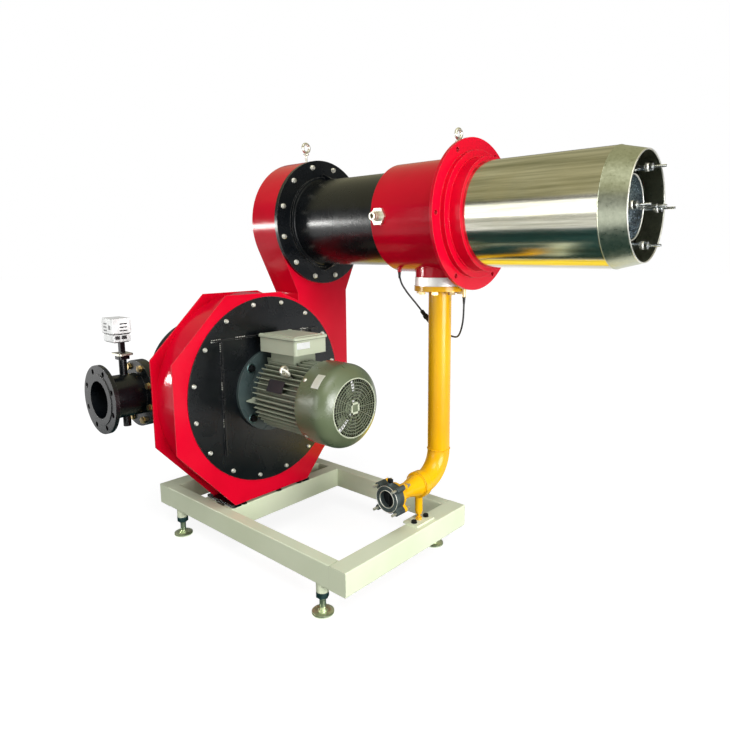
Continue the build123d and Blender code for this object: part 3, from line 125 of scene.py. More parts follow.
# --- node helpers -------------------------------------------------------------
class Shader:
    """Small helper that builds one node material."""

    def __init__(self, name):
        self.material = bpy.data.materials.new(name)
        self.material.use_nodes = True
        self.tree = self.material.node_tree
        self.tree.nodes.clear()
        self.output = self.new("ShaderNodeOutputMaterial")
        self.body = self.new("ShaderNodeBsdfPrincipled")
        self.link(self.body.outputs[0], self.output.inputs["Surface"])
        self.coords = self.new("ShaderNodeTexCoord").outputs["Object"]

    def new(self, kind, **values):
        node = self.tree.nodes.new(kind)
        for key, value in values.items():
            setattr(node, key, value)
        return node

    def link(self, source, target):
        self.tree.links.new(source, target)

    def stretch(self, scale):
        node = self.new("ShaderNodeMapping")
        node.inputs["Scale"].default_value = scale
        self.link(self.coords, node.inputs["Vector"])
        return node.outputs[0]

    def noise(self, scale, detail=4.0, rough=0.55, vector=None, distortion=0.0):
        node = self.new("ShaderNodeTexNoise")
        node.inputs["Scale"].default_value = scale
        node.inputs["Detail"].default_value = detail
        node.inputs["Roughness"].default_value = rough
        node.inputs["Distortion"].default_value = distortion
        self.link(vector or self.coords, node.inputs["Vector"])
        return node.outputs["Fac"]

    def ramp(self, value, stops):
        node = self.new("ShaderNodeValToRGB")
        ramp = node.color_ramp
        while len(ramp.elements) < len(stops):
            ramp.elements.new(0.5)
        for element, (place, colour) in zip(ramp.elements, stops):
            element.position = place
            if isinstance(colour, (int, float)):
                colour = (colour, colour, colour)
            element.color = (*colour, 1.0)
        self.link(value, node.inputs["Fac"])
        return node.outputs["Color"]

    def mix(self, factor, first, second):
        node = self.new("ShaderNodeMix", data_type="RGBA")
        for value, slot in ((factor, node.inputs[0]), (first, node.inputs[6]), (second, node.inputs[7])):
            if isinstance(value, (int, float)):
                slot.default_value = value
            elif isinstance(value, (tuple, list)):
                slot.default_value = (*value, 1.0)
            else:
                self.link(value, slot)
        return node.outputs[2]

    def math(self, operation, first, second=0.0):
        node = self.new("ShaderNodeMath", operation=operation)
        for value, slot in ((first, node.inputs[0]), (second, node.inputs[1])):
            if isinstance(value, (int, float)):
                slot.default_value = value
            else:
                self.link(value, slot)
        return node.outputs[0]

    def bump(self, height, strength, distance, rounding=0.0):
        node = self.new("ShaderNodeBump")
        node.inputs["Strength"].default_value = strength
        node.inputs["Distance"].default_value = distance
        self.link(height, node.inputs["Height"])
        if rounding:
            bevel = self.new("ShaderNodeBevel", samples=4)
            bevel.inputs["Radius"].default_value = rounding
            self.link(bevel.outputs[0], node.inputs["Normal"])
        self.link(node.outputs[0], self.body.inputs["Normal"])

    def edges(self, radius):
        """1 along convex and concave edges, 0 on flat faces."""
        bevel = self.new("ShaderNodeBevel", samples=4)
        bevel.inputs["Radius"].default_value = radius
        plain = self.new("ShaderNodeNewGeometry")
        dot = self.new("ShaderNodeVectorMath", operation="DOT_PRODUCT")
        self.link(bevel.outputs[0], dot.inputs[0])
        self.link(plain.outputs["Normal"], dot.inputs[1])
        return self.math("SUBTRACT", 1.0, dot.outputs["Value"])

    def set(self, **values):
        names = {"color": "Base Color", "rough": "Roughness", "metal": "Metallic",
                 "specular": "Specular IOR Level"}
        for key, value in values.items():
            slot = self.body.inputs[names[key]]
            if isinstance(value, (int, float)):
                slot.default_value = value
            else:
                self.link(value, slot)


# radius of the edges that a bump rounds off, in metres
PAINT_EDGE = 0.0012
METAL_EDGE = 0.0008
MOULDED_EDGE = 0.0006


def enamel(name, colour, deep, rough, specular, chips=(0.25, 0.24, 0.22), peel=0.35, painted_shade_reach=None):
    """Sprayed enamel: slow colour drift, orange peel, rubbed edges and, if asked, painted shade that
    darkens the hollows.
    """
    s = Shader(name)
    drift = s.noise(3.0, 3.0)
    base = s.mix(s.ramp(drift, ((0.3, 0.0), (0.7, 1.0))), deep, colour)
    edge = s.edges(PAINT_EDGE * 2)
    breakup = s.noise(60.0, 6.0, 0.7)
    worn = s.ramp(s.math("MULTIPLY", edge, breakup), ((0.05, 0.0), (0.16, 1.0)))
    tint = s.mix(s.math("MULTIPLY", worn, 0.55), base, chips)
    if painted_shade_reach:
        # painted shade: ambient occlusion darkens the colour in hollows, such as the valleys between the
        # fins
        hollow = s.new("ShaderNodeAmbientOcclusion", samples=8)
        hollow.inputs["Distance"].default_value = painted_shade_reach
        painted_shade_tone = tuple(0.06 * c for c in deep)
        tint = s.mix(s.ramp(hollow.outputs["AO"], ((0.25, 0.0), (0.8, 1.0))), painted_shade_tone, tint)
    smear = s.noise(9.0, 5.0, 0.6, distortion=0.6)
    s.set(color=tint, specular=specular)
    s.set(rough=s.ramp(smear, ((0.25, rough * 0.75), (0.75, min(1.0, rough * 1.45)))))
    s.bump(s.noise(240.0, 2.0), peel, 0.0006, PAINT_EDGE)
    return s.material


def plain_metal(name, colour, dark, rough):
    """Plated or bare metal: patches of a darker tone and a fine uneven polish."""
    s = Shader(name)
    patch = s.noise(35.0, 5.0, 0.6)
    fine = s.noise(160.0, 4.0, 0.6)
    base = s.mix(s.ramp(patch, ((0.3, 0.0), (0.72, 1.0))), dark, colour)
    s.set(color=base, metal=1.0)
    s.set(rough=s.ramp(fine, ((0.2, rough * 0.7), (0.8, min(1.0, rough * 1.5)))))
    s.bump(fine, 0.15, 0.0004, METAL_EDGE)
    return s.material


def rolled_steel(name, cone_start):
    """Semi-bright stainless sheet with rolling bands along the tube; the cone is duller and mottled."""
    s = Shader(name)
    streak = s.noise(30.0, 6.0, 0.66, vector=s.stretch((0.04, 1.0, 1.0)))
    grain = s.noise(420.0, 3.0, 0.6, vector=s.stretch((0.02, 1.0, 1.0)))
    smudge = s.noise(7.0, 5.0, 0.6, distortion=0.5)
    mottle = s.noise(90.0, 5.0, 0.7)
    split = s.new("ShaderNodeSeparateXYZ")
    s.link(s.coords, split.inputs[0])
    cone = s.math("GREATER_THAN", split.outputs["X"], cone_start)
    base = s.mix(s.ramp(streak, ((0.34, 0.0), (0.64, 1.0))), (0.34, 0.34, 0.25), (0.80, 0.78, 0.68))
    base = s.mix(s.ramp(smudge, ((0.5, 0.0), (0.75, 0.35))), base, (0.62, 0.56, 0.36))
    dull = s.mix(s.ramp(mottle, ((0.3, 0.0), (0.7, 1.0))), (0.40, 0.43, 0.32), (0.55, 0.58, 0.45))
    s.set(color=s.mix(cone, base, dull), metal=1.0)
    bright = s.ramp(grain, ((0.2, 0.10), (0.8, 0.22)))
    s.set(rough=s.mix(cone, bright, s.ramp(mottle, ((0.3, 0.26), (0.7, 0.36)))))
    s.bump(s.mix(cone, grain, mottle), 0.12, 0.0004, METAL_EDGE)
    return s.material


def casting(name, colour, dark, rough):
    """Sand-cast iron with a little metal showing."""
    s = Shader(name)
    sand = s.noise(190.0, 4.0, 0.65)
    patch = s.noise(14.0, 5.0)
    s.set(color=s.mix(s.ramp(patch, ((0.3, 0.0), (0.7, 1.0))), dark, colour), metal=0.55)
    s.set(rough=s.ramp(sand, ((0.2, rough * 0.8), (0.8, min(1.0, rough * 1.3)))))
    s.bump(sand, 0.5, 0.0008, PAINT_EDGE)
    return s.material


def moulded(name, colour, rough):
    """Moulded plastic or rubber with a fine grain."""
    s = Shader(name)
    fine = s.noise(300.0, 3.0)
    patch = s.noise(20.0, 4.0)
    light = tuple(min(1.0, c * 1.35 + 0.01) for c in colour)
    s.set(color=s.mix(s.ramp(patch, ((0.35, 0.0), (0.7, 1.0))), colour, light))
    s.set(rough=s.ramp(fine, ((0.2, rough * 0.85), (0.8, min(1.0, rough * 1.2)))))
    s.bump(fine, 0.2, 0.0003, MOULDED_EDGE)
    return s.material


RED = ((0.74, 0.0020, 0.024), (0.60, 0.0012, 0.017))
MATERIALS = {
    "red_paint": enamel("red_enamel", *RED, 0.14, 0.20),
    "black_paint": enamel("black_enamel", (0.0022, 0.0035, 0.0050), (0.0012, 0.002, 0.003), 0.24, 0.50),
    "frame_paint": enamel("cream_enamel", (0.72, 0.77, 0.58), (0.63, 0.69, 0.49), 0.36, 0.25,
                          chips=(0.45, 0.42, 0.34)),
    "gas_paint": enamel("yellow_enamel", (0.82, 0.45, 0.003), (0.72, 0.34, 0.002), 0.20, 0.35),
    "motor_paint": enamel("grey_green_enamel", (0.120, 0.150, 0.078), (0.075, 0.098, 0.052), 0.28, 0.80,
                          peel=0.5),
    "zinc": plain_metal("zinc_plate", (0.88, 0.86, 0.76), (0.60, 0.58, 0.48), 0.34),
    "blast_steel": rolled_steel("rolled_stainless", CONE_START * MM),
    "dark_steel": plain_metal("dark_steel", (0.22, 0.22, 0.21), (0.10, 0.10, 0.10), 0.42),
    "valve_iron": casting("valve_casting", (0.10, 0.13, 0.13), (0.03, 0.04, 0.04), 0.55),
    "cast_alloy": plain_metal("cast_alloy", (0.86, 0.86, 0.84), (0.66, 0.66, 0.63), 0.45),
    "cable": moulded("cable_jacket", (0.012, 0.012, 0.013), 0.45),
    "plug_plastic": moulded("black_moulding", (0.016, 0.016, 0.018), 0.4),
}
# finishes that only some nodes or pieces of a slot have
FINISH = {
    # the finned casting has painted shade darkening the valleys between its fins
    "fins": enamel("finned_casting", (0.38, 0.42, 0.31), (0.30, 0.34, 0.24), 0.34, 0.5,
                   peel=0.7, painted_shade_reach=0.020),
    "flange": enamel("flange_enamel", (0.055, 0.080, 0.078), (0.030, 0.046, 0.048), 0.26, 0.45, peel=0.6),
    "box": enamel("box_enamel", (0.50, 0.545, 0.41), (0.42, 0.46, 0.34), 0.34, 0.35, peel=0.5),
    "core": plain_metal("bright_core", (0.50, 0.55, 0.58), (0.38, 0.43, 0.46), 0.25),
    "lances": plain_metal("bright_lance", (0.90, 0.92, 0.92), (0.66, 0.70, 0.70), 0.22),
    "gold_zinc": plain_metal("yellow_zinc", (0.86, 0.66, 0.34), (0.58, 0.43, 0.20), 0.32),
    "teal_zinc": plain_metal("blue_zinc", (0.22, 0.36, 0.36), (0.08, 0.15, 0.15), 0.30),
    "foot": plain_metal("foot_zinc", (0.80, 0.86, 0.66), (0.52, 0.60, 0.38), 0.36),
    "bead": plain_metal("bare_bead", (0.98, 0.97, 0.90), (0.78, 0.77, 0.70), 0.36),
    "plate": plain_metal("bare_plate", (0.90, 0.93, 0.93), (0.78, 0.82, 0.83), 0.50),
    "dark_plate": moulded("dark_plate", (0.012, 0.011, 0.014), 0.40),
    "white_case": moulded("white_case", (0.72, 0.73, 0.72), 0.42),
    "cream_eye": enamel("cream_eye", (0.80, 0.80, 0.70), (0.66, 0.66, 0.56), 0.30, 0.4),
    "black_bolt": plain_metal("black_bolt", (0.035, 0.037, 0.040), (0.012, 0.012, 0.014), 0.38),
}
NODE_FINISH = {
    "motor_body": "fins", "motor_flange": "flange", "terminal_box": "box", "terminal_box_lid": "box",
    "firing_core": "core", "gas_lances": "lances", "air_valve_bolts": "gold_zinc",
    "gas_flange_bolts": "gold_zinc", "gas_sensor": "gold_zinc", "foot_lock_nuts": "teal_zinc",
    "motor_flange_bolts": "black_bolt", "gas_valve_disc": "black_bolt", "leg_plate_bolts": "black_bolt",
    "levelling_foot_front_near": "foot", "levelling_foot_front_far": "foot",
    "levelling_foot_rear_near": "foot", "levelling_foot_rear_far": "foot",
}
for part in frame["record"]["subparts"]:
    node = NODES[part["node"]]
    chosen = NODE_FINISH.get(part["node"])
    for slot in node.material_slots:
        slot.material = FINISH[chosen] if chosen else MATERIALS[part["material_slot"]]


# --- stage and light ----------------------------------------------------------
FLOOR_GREY = 0.26
FLOOR_GLOW = 0.86          # what camera and glossy rays see on top of the grey
FLOOR_HALF = 30.0
FLOOR_DROP = 0.0005        # below the lowest point of the CAD
SKY_LIGHT = 0.22
WHITE = (1, 1, 1, 1)


def ray_is(tree, first, second):
    """1 where the ray is of either of two kinds of Light Path."""
    path = tree.nodes.new("ShaderNodeLightPath")
    either = tree.nodes.new("ShaderNodeMath")
    either.operation = "MAXIMUM"
    tree.links.new(path.outputs[first], either.inputs[0])
    tree.links.new(path.outputs[second], either.inputs[1])
    return either.outputs[0]


def empty_tree(owner):
    owner.use_nodes = True
    owner.node_tree.nodes.clear()
    return owner.node_tree


def make_floor():
    """Pale floor that keeps the object's shadow."""
    z = CAD_BOX[0][2] - FLOOR_DROP
    size = FLOOR_HALF
    mesh = bpy.data.meshes.new("floor")
    mesh.from_pydata([(-size, -size, z), (size, -size, z), (size, size, z), (-size, size, z)],
                     [], [(0, 1, 2, 3)])
    floor = bpy.data.objects.new("floor", mesh)
    bpy.context.scene.collection.objects.link(floor)
    material = bpy.data.materials.new("floor")
    tree = empty_tree(material)
    output = tree.nodes.new("ShaderNodeOutputMaterial")
    total = tree.nodes.new("ShaderNodeAddShader")
    matte = tree.nodes.new("ShaderNodeBsdfDiffuse")
    matte.inputs["Color"].default_value = (FLOOR_GREY, FLOOR_GREY, FLOOR_GREY, 1)
    glow = tree.nodes.new("ShaderNodeEmission")
    glow.inputs["Color"].default_value = WHITE
    amount = tree.nodes.new("ShaderNodeMath")
    amount.operation = "MULTIPLY"
    amount.inputs[1].default_value = FLOOR_GLOW
    tree.links.new(ray_is(tree, "Is Camera Ray", "Is Glossy Ray"), amount.inputs[0])
    tree.links.new(amount.outputs[0], glow.inputs["Strength"])
    tree.links.new(matte.outputs[0], total.inputs[0])
    tree.links.new(glow.outputs[0], total.inputs[1])
    tree.links.new(total.outputs[0], output.inputs["Surface"])
    mesh.materials.append(material)


def make_world():
    """Soft even light, white where the camera sees past the floor."""
    world = bpy.data.worlds.new("studio")
    bpy.context.scene.world = world
    tree = empty_tree(world)
    output = tree.nodes.new("ShaderNodeOutputWorld")
    shown = tree.nodes.new("ShaderNodeMixShader")
    tree.links.new(ray_is(tree, "Is Camera Ray", "Is Transmission Ray"), shown.inputs["Fac"])
    for slot, strength in ((1, SKY_LIGHT), (2, 1.0)):
        background = tree.nodes.new("ShaderNodeBackground")
        background.inputs["Color"].default_value = WHITE
        background.inputs["Strength"].default_value = strength
        tree.links.new(background.outputs[0], shown.inputs[slot])
    tree.links.new(shown.outputs[0], output.inputs["Surface"])


def area_light(name, place, target, size, power):
    data = bpy.data.lights.new(name, "AREA")
    data.shape = "RECTANGLE"
    data.size, data.size_y = size
    data.energy = power
    lamp = bpy.data.objects.new(name, data)
    bpy.context.scene.collection.objects.link(lamp)
    lamp.location = place
    aim = Vector(target) - Vector(place)
    lamp.rotation_euler = aim.to_track_quat("-Z", "Y").to_euler()


def gloss_card(name, centre, across, up, colour, strength):
    """Studio flag or reflector that only glossy rays see: it shapes reflections and lights nothing."""
    centre, across, up = Vector(centre), Vector(across) / 2, Vector(up) / 2
    mesh = bpy.data.meshes.new(name)
    corners = [centre - across - up, centre + across - up, centre + across + up, centre - across + up]
    mesh.from_pydata([tuple(c) for c in corners], [], [(0, 1, 2, 3)])
    card = bpy.data.objects.new(name, mesh)
    bpy.context.scene.collection.objects.link(card)
    material = bpy.data.materials.new(name)
    tree = empty_tree(material)
    output = tree.nodes.new("ShaderNodeOutputMaterial")
    glow = tree.nodes.new("ShaderNodeEmission")
    glow.inputs["Color"].default_value = (*colour, 1)
    glow.inputs["Strength"].default_value = strength
    tree.links.new(glow.outputs[0], output.inputs["Surface"])
    mesh.materials.append(material)
    card.visible_camera = False
    card.visible_diffuse = False
    card.visible_transmission = False
    card.visible_shadow = False
    card.visible_volume_scatter = False


def make_lights():
    data = bpy.data.lights.new("key", "SUN")
    data.energy = 1.75
    data.angle = radians(35)
    sun = bpy.data.objects.new("key", data)
    bpy.context.scene.collection.objects.link(sun)
    sun.rotation_euler = Vector((-0.55, 0.45, -0.95)).to_track_quat("-Z", "Y").to_euler()
    area_light("front_softbox", (-1.6, -4.6, 0.3), (-0.5, 0, -0.6), (3.0, 2.0), 42)
    area_light("right_softbox", (4.2, -0.9, -0.2), (-0.4, -0.2, -0.5), (2.6, 2.2), 225)
    east, north, up = Vector((1, 0, 0)), Vector((0, 1, 0)), Vector((0, 0, 1))
    low_z = CAD_BOX[0][2] + 0.004
    gloss_card("ceiling_flag", (0, 0, 3.2), east * 14, north * 14, (1.0, 0.95, 0.60), 0.50)
    gloss_card("right_flag", (5.5, 3.2, 0.2), north * 6.5, up * 3.2, (0.8, 1.0, 1.0), 0.04)
    # painted shadow: a dark card under the object stands in, for reflections only, for the floor's shade
    # there
    gloss_card("under_shadow_card", (-0.7, -0.78, low_z), east * 4.4, north * 2.4, (0.32, 1.0, 0.95), 0.06)
    gloss_card("gold_reflector", (-1.0, 0.95, low_z), east * 2.4, north * 0.95, (1.0, 0.72, 0.06), 1.6)
    gloss_card("strip_light", (-4.75, -3.1, -0.24), east * 2.3, up * 0.36, (1, 1, 0.97), 60.0)
    gloss_card("steel_reflector", (-1.7, -3.1, -0.80), east * 2.1, up * 0.5, (1, 1, 0.92), 0.62)


make_floor()
make_world()
make_lights()
bpy.context.scene.view_settings.view_transform = "Standard"


# --- mesh helpers -------------------------------------------------------------
def link_piece(name, mesh, material, body):
    piece = bpy.data.objects.new(name, mesh)
    bpy.context.scene.collection.objects.link(piece)
    mesh.materials.append(material)
    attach(piece, body)
    return piece


BEVEL_ANGLE = 40


def finish_mesh(name, bm, slot, body="base", material=None, smooth=True, bevel=0.0):
    """Turns a bmesh in millimetres into a piece in metres, with rounded edges if asked."""
    bmesh.ops.remove_doubles(bm, verts=bm.verts, dist=1e-4)
    bmesh.ops.recalc_face_normals(bm, faces=bm.faces)
    bmesh.ops.scale(bm, vec=(MM, MM, MM), verts=bm.verts)
    mesh = bpy.data.meshes.new(name)
    bm.to_mesh(mesh)
    bm.free()
    if smooth:
        mesh.shade_smooth()
    piece = link_piece(name, mesh, material or MATERIALS[slot], body)
    if bevel:
        rounded = piece.modifiers.new("edges", "BEVEL")
        rounded.width = bevel * MM
        rounded.segments = 2
        rounded.limit_method = "ANGLE"
        rounded.angle_limit = radians(BEVEL_ANGLE)
        rounded.harden_normals = True
    return piece


def axes_for(direction):
    """Two unit vectors square to a direction."""
    direction = Vector(direction).normalized()
    helper = Vector((0, 0, 1)) if abs(direction.z) < 0.9 else Vector((1, 0, 0))
    side = helper.cross(direction).normalized()
    return side, direction.cross(side)


def add_tube(bm, path, radii, segments=10, closed=False):
    """Sweeps a ring of vertices along a path; radii is one number or one per point."""
    count = len(path)
    if isinstance(radii, (int, float)):
        radii = [radii] * count
    rings = []
    side = None
    for i, point in enumerate(path):
        if closed:
            ahead = Vector(path[(i + 1) % count]) - Vector(path[i - 1])
        else:
            ahead = Vector(path[min(i + 1, count - 1)]) - Vector(path[max(i - 1, 0)])
        ahead.normalize()
        if side is None:
            side, other = axes_for(ahead)
        side = (side - ahead * side.dot(ahead)).normalized()
        other = ahead.cross(side)
        rings.append([bm.verts.new(Vector(point) + side * radii[i] * cos(2 * pi * k / segments)
                                   + other * radii[i] * sin(2 * pi * k / segments))
                      for k in range(segments)])
    pairs = list(zip(rings, rings[1:])) + ([(rings[-1], rings[0])] if closed else [])
    for first, second in pairs:
        for k in range(segments):
            bm.faces.new((first[k], first[(k + 1) % segments], second[(k + 1) % segments], second[k]))
    if not closed:
        bm.faces.new(rings[0][::-1])
        bm.faces.new(rings[-1])


def add_lathe(bm, start, axis, profile, segments=40, closed=True):
    """Turns a profile of (distance along axis, radius) round an axis."""
    axis = Vector(axis).normalized()
    side, other = axes_for(axis)
    rings = []
    for along, radius in profile:
        centre = Vector(start) + axis * along
        rings.append([bm.verts.new(centre + (side * cos(2 * pi * k / segments)
                                             + other * sin(2 * pi * k / segments)) * radius)
                      for k in range(segments)])
    for first, second in zip(rings, rings[1:]):
        for k in range(segments):
            bm.faces.new((first[k], first[(k + 1) % segments], second[(k + 1) % segments], second[k]))
    if closed:
        bm.faces.new(rings[0][::-1])
        bm.faces.new(rings[-1])


def add_block(bm, centre, half, turn=None):
    """Box with half sizes along three axes, given as a rotation matrix or the row frame."""
    turn = turn or Matrix.Identity(3)
    corners = [bm.verts.new(Vector(centre) + turn @ Vector((x * half[0], y * half[1], z * half[2])))
               for x in (-1, 1) for y in (-1, 1) for z in (-1, 1)]
    for face in ((0, 1, 3, 2), (4, 6, 7, 5), (0, 4, 5, 1), (2, 3, 7, 6), (0, 2, 6, 4), (1, 5, 7, 3)):
        bm.faces.new([corners[i] for i in face])


def add_hex(bm, start, axis, across, height, crown=0.12):
    """Hexagon head with a chamfered crown."""
    axis = Vector(axis).normalized()
    side, other = axes_for(axis)
    full, cut = across / 2 / cos(pi / 6), across / 2 * 0.95
    rings = []
    for along, radius in ((0.0, full), (height * (1 - crown), full), (height, cut)):
        rings.append([bm.verts.new(Vector(start) + axis * along
                                   + (side * cos(k * pi / 3) + other * sin(k * pi / 3)) * radius)
                      for k in range(6)])
    for first, second in zip(rings, rings[1:]):
        for k in range(6):
            bm.faces.new((first[k], first[(k + 1) % 6], second[(k + 1) % 6], second[k]))
    bm.faces.new(rings[0][::-1])
    bm.faces.new(rings[-1])


def circle_x(x, radius, y=0.0, z=0.0, count=180):
    return [(x, y + radius * cos(2 * pi * i / count), z + radius * sin(2 * pi * i / count))
            for i in range(count)]


def circle_y(y, radius, x, z, count=120):
    return [(x + radius * cos(2 * pi * i / count), y, z + radius * sin(2 * pi * i / count))
            for i in range(count)]


def circle_z(z, radius, x, y, count=120):
    return [(x + radius * cos(2 * pi * i / count), y + radius * sin(2 * pi * i / count), z)
            for i in range(count)]


def saddle(radius, host_r, x, count=120):
    """Where a branch standing on Z meets a tube lying along X, on its lower side."""
    path = []
    for i in range(count):
        angle = 2 * pi * i / count
        y = radius * sin(angle)
        path.append((x + radius * cos(angle), y, -sqrt(host_r ** 2 - y * y)))
    return path


def stepped(start, end, count):
    return [start + (end - start) * i / count for i in range(count + 1)]


# --- welds --------------------------------------------------------------------
WELD_RIPPLE = 0.16


def weld(name, paths, size, slot, closed=True):
    """Fillet weld with the ripples of its runs, laid along one or more paths."""
    chance = random.Random(name)
    ripple = WELD_RIPPLE
    bm = bmesh.new()
    for path in paths:
        radii = [size * (1 + ripple * sin(i * 2.1) * 0.5 + chance.uniform(-ripple, ripple) * 0.5)
                 for i in range(len(path))]
        add_tube(bm, path, radii, 8, closed)
    finish_mesh(name, bm, slot)


def drum_stub_seam(x, z):
    """Where the air inlet's stub meets the drum behind the casing."""
    seam = []
    for i in range(120):
        angle = 2 * pi * i / 120
        height = z + STUB_R * sin(angle)
        seam.append((x + STUB_R * cos(angle), FAN[0] - sqrt(DRUM_R ** 2 - (height - FAN[1]) ** 2), height))
    return seam


def frame_corners():
    """Upright seams at the rails' ends and at both ends of each cross member."""
    corners = []
    for rail in ("frame_rail_near", "frame_rail_far"):
        inner_y = high(rail).y if rail.endswith("near") else low(rail).y
        for member in (rail, "frame_cross_front", "frame_cross_rear"):
            heights = stepped(low(member).z + 4, high(member).z - 4, 24)
            for x in (low(member).x, high(member).x):
                corners.append([(x, inner_y, z) for z in heights])
    return corners


def make_welds():
    flange_front = low("burner_flange").x + 16
    weld("weld_burner_flange", [circle_x(flange_front + 12.5, TUBE_R + 1.5)], 3.2, "black_paint")
    weld("weld_manifold_rear", [circle_x(low("gas_manifold").x, TUBE_R + 1.2)], 3.4, "red_paint")
    weld("weld_manifold_front", [circle_x(high("gas_manifold").x - 1, MANIFOLD_R + 1)], 3.6, "red_paint")
    weld("weld_spigot", [circle_x(19, SPIGOT_R)], 3.0, "red_paint")
    weld("weld_gas_boss", [saddle(BOSS_R + 1.5, MANIFOLD_R, GAS_X)], 3.6, "red_paint")
    riser_bottom = low("gas_riser").z
    flange_under = high("gas_riser").z - 20
    weld("weld_riser", [circle_z(flange_under - 1, PIPE_R + 1.5, GAS_X, 0),
                        circle_z(riser_bottom, PIPE_R - 0.4, GAS_X, 0)], 3.0, "gas_paint")
    branch_top = high("gas_branch").y
    run_z = (low("gas_branch").z + high("gas_branch").z) / 2
    weld("weld_branch", [circle_y(branch_top + 1, PIPE_R + 1, GAS_X, run_z),
                         circle_y(branch_top - 30, PIPE_R + 1, GAS_X, run_z)], 2.6, "gas_paint")
    weld("weld_leg", [circle_z(run_z - 50.5, 15.5, GAS_X, branch_top - 15)], 2.4, "gas_paint")
    weld("weld_drum", [circle_x(low("fan_back_plate").x - 1, DRUM_R + 1, *FAN)], 3.6, "black_paint")
    inlet_x = (low("inlet_stub").x + high("inlet_stub").x) / 2
    inlet_z = (low("inlet_stub").z + high("inlet_stub").z) / 2
    flange_seam = circle_y(low("inlet_stub").y + 21, STUB_R, inlet_x, inlet_z)
    weld("weld_stub", [drum_stub_seam(inlet_x, inlet_z), flange_seam], 3.2, "black_paint")
    weld("weld_frame", frame_corners(), 3.0, "frame_paint", closed=False)
    feet_low, feet_high = low("casing_feet"), high("casing_feet")
    weld("weld_casing_feet", [[(x, y, feet_low.z + 1) for x in stepped(feet_low.x + 5, feet_high.x - 5, 60)]
                              for y in (feet_low.y, feet_high.y)], 3.0, "black_paint", closed=False)


make_welds()


# --- details ------------------------------------------------------------------
def solids(node):
    """Lowest and highest corner, in millimetres, of each separate solid of a CAD node."""
    bm = bmesh.new()
    bm.from_mesh(NODES[node].data)
    bmesh.ops.remove_doubles(bm, verts=bm.verts, dist=1e-6)
    left = set(bm.verts)
    found = []
    while left:
        queue = [left.pop()]
        points = []
        while queue:
            vertex = queue.pop()
            points.append(vertex.co / MM)
            for edge in vertex.link_edges:
                other = edge.other_vert(vertex)
                if other in left:
                    left.remove(other)
                    queue.append(other)
        found.append((Vector([min(p[i] for p in points) for i in range(3)]),
                      Vector([max(p[i] for p in points) for i in range(3)])))
    bm.free()
    return found


def around(x, radius, degrees, centre=FAN):
    """Point at an angle above the near side of an axis along X."""
    turn = radians(degrees)
    return Vector((x, centre[0] - radius * cos(turn), centre[1] + radius * sin(turn)))


def facing(degrees):
    """Rotation whose Z axis points away from an axis along X, at an angle above the near side."""
    out = Vector((0, -cos(radians(degrees)), sin(radians(degrees))))
    along = Vector((1, 0, 0))
    return Matrix((along, out.cross(along), out)).transposed()


def face_bolts(name, node, stack, across, height, washer, finish):
    """Hex bolts that stand for a CAD group of bolts along X, seated where that group's washers lie."""
    bm = bmesh.new()
    for lowest, highest in solids(node):
        middle = (lowest + highest) / 2
        seat = (highest.x - stack, middle.y, middle.z)
        add_lathe(bm, seat, (1, 0, 0), ((0.0, washer), (1.2, washer), (1.6, washer - 0.5)), 24)
        add_hex(bm, Vector(seat) + Vector((1.6, 0, 0)), (1, 0, 0), across, height, 0.18)
        add_tube(bm, [Vector(seat), Vector((lowest.x, middle.y, middle.z))], across * 0.3, 12)
    piece = finish_mesh(name, bm, "zinc", material=FINISH[finish], smooth=False)
    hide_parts(node)


def plate_with_rivets(name, centre, turn, size, slot, material, rivet=1.6):
    """Bare plate held by four rivets."""
    bm = bmesh.new()
    half = (size[0] / 2, size[1] / 2, 0.6)
    add_block(bm, centre, half, turn)
    out = turn @ Vector((0, 0, 1))
    for x in (-1, 1):
        for y in (-1, 1):
            spot = Vector(centre) + turn @ Vector((x * (half[0] - 4), y * (half[1] - 4), half[2]))
            add_lathe(bm, spot, out, ((0, rivet), (0.5, rivet * 0.9), (0.9, rivet * 0.5)), 12)
    finish_mesh(name, bm, slot, material=material, smooth=False, bevel=0.4)


def curved_plate(name, x0, x1, radius, start, end, slot, material, count=14):
    """Thin plate bent round the motor's axis between two angles."""
    bm = bmesh.new()
    grid = {}
    for level, r in enumerate((radius, radius + 0.8)):
        for i in range(count + 1):
            for j, x in enumerate((x0, x1)):
                grid[level, i, j] = bm.verts.new(around(x, r, start + (end - start) * i / count))
    for i in range(count):
        bm.faces.new([grid[1, i, 0], grid[1, i, 1], grid[1, i + 1, 1], grid[1, i + 1, 0]])
        bm.faces.new([grid[0, i, 0], grid[0, i + 1, 0], grid[0, i + 1, 1], grid[0, i, 1]])
        for j in (0, 1):
            bm.faces.new([grid[0, i, j], grid[1, i, j], grid[1, i + 1, j], grid[0, i + 1, j]])
    for i in (0, count):
        bm.faces.new([grid[0, i, 0], grid[0, i, 1], grid[1, i, 1], grid[1, i, 0]])
    finish_mesh(name, bm, slot, material=material, smooth=False)


def stitches(name, start, end, runs, beads, size, finish):
    """Rows of weld beads, in short runs along a line."""
    chance = random.Random(name)
    start, end = Vector(start), Vector(end)
    pitch = (end - start) / runs
    step = pitch.normalized()
    bm = bmesh.new()
    for run in range(runs):
        for bead in range(beads):
            at = start + pitch * run + step * bead * size * 3.6 + step * chance.uniform(0, size)
            grow = size * chance.uniform(0.7, 1.15)
            path = [at + step * grow * k for k in (-1.0, -0.6, 0.0, 0.6, 1.0)]
            add_tube(bm, path, [grow * 0.3, grow * 0.75, grow, grow * 0.75, grow * 0.3], 8)
    finish_mesh(name, bm, "zinc", material=FINISH[finish])


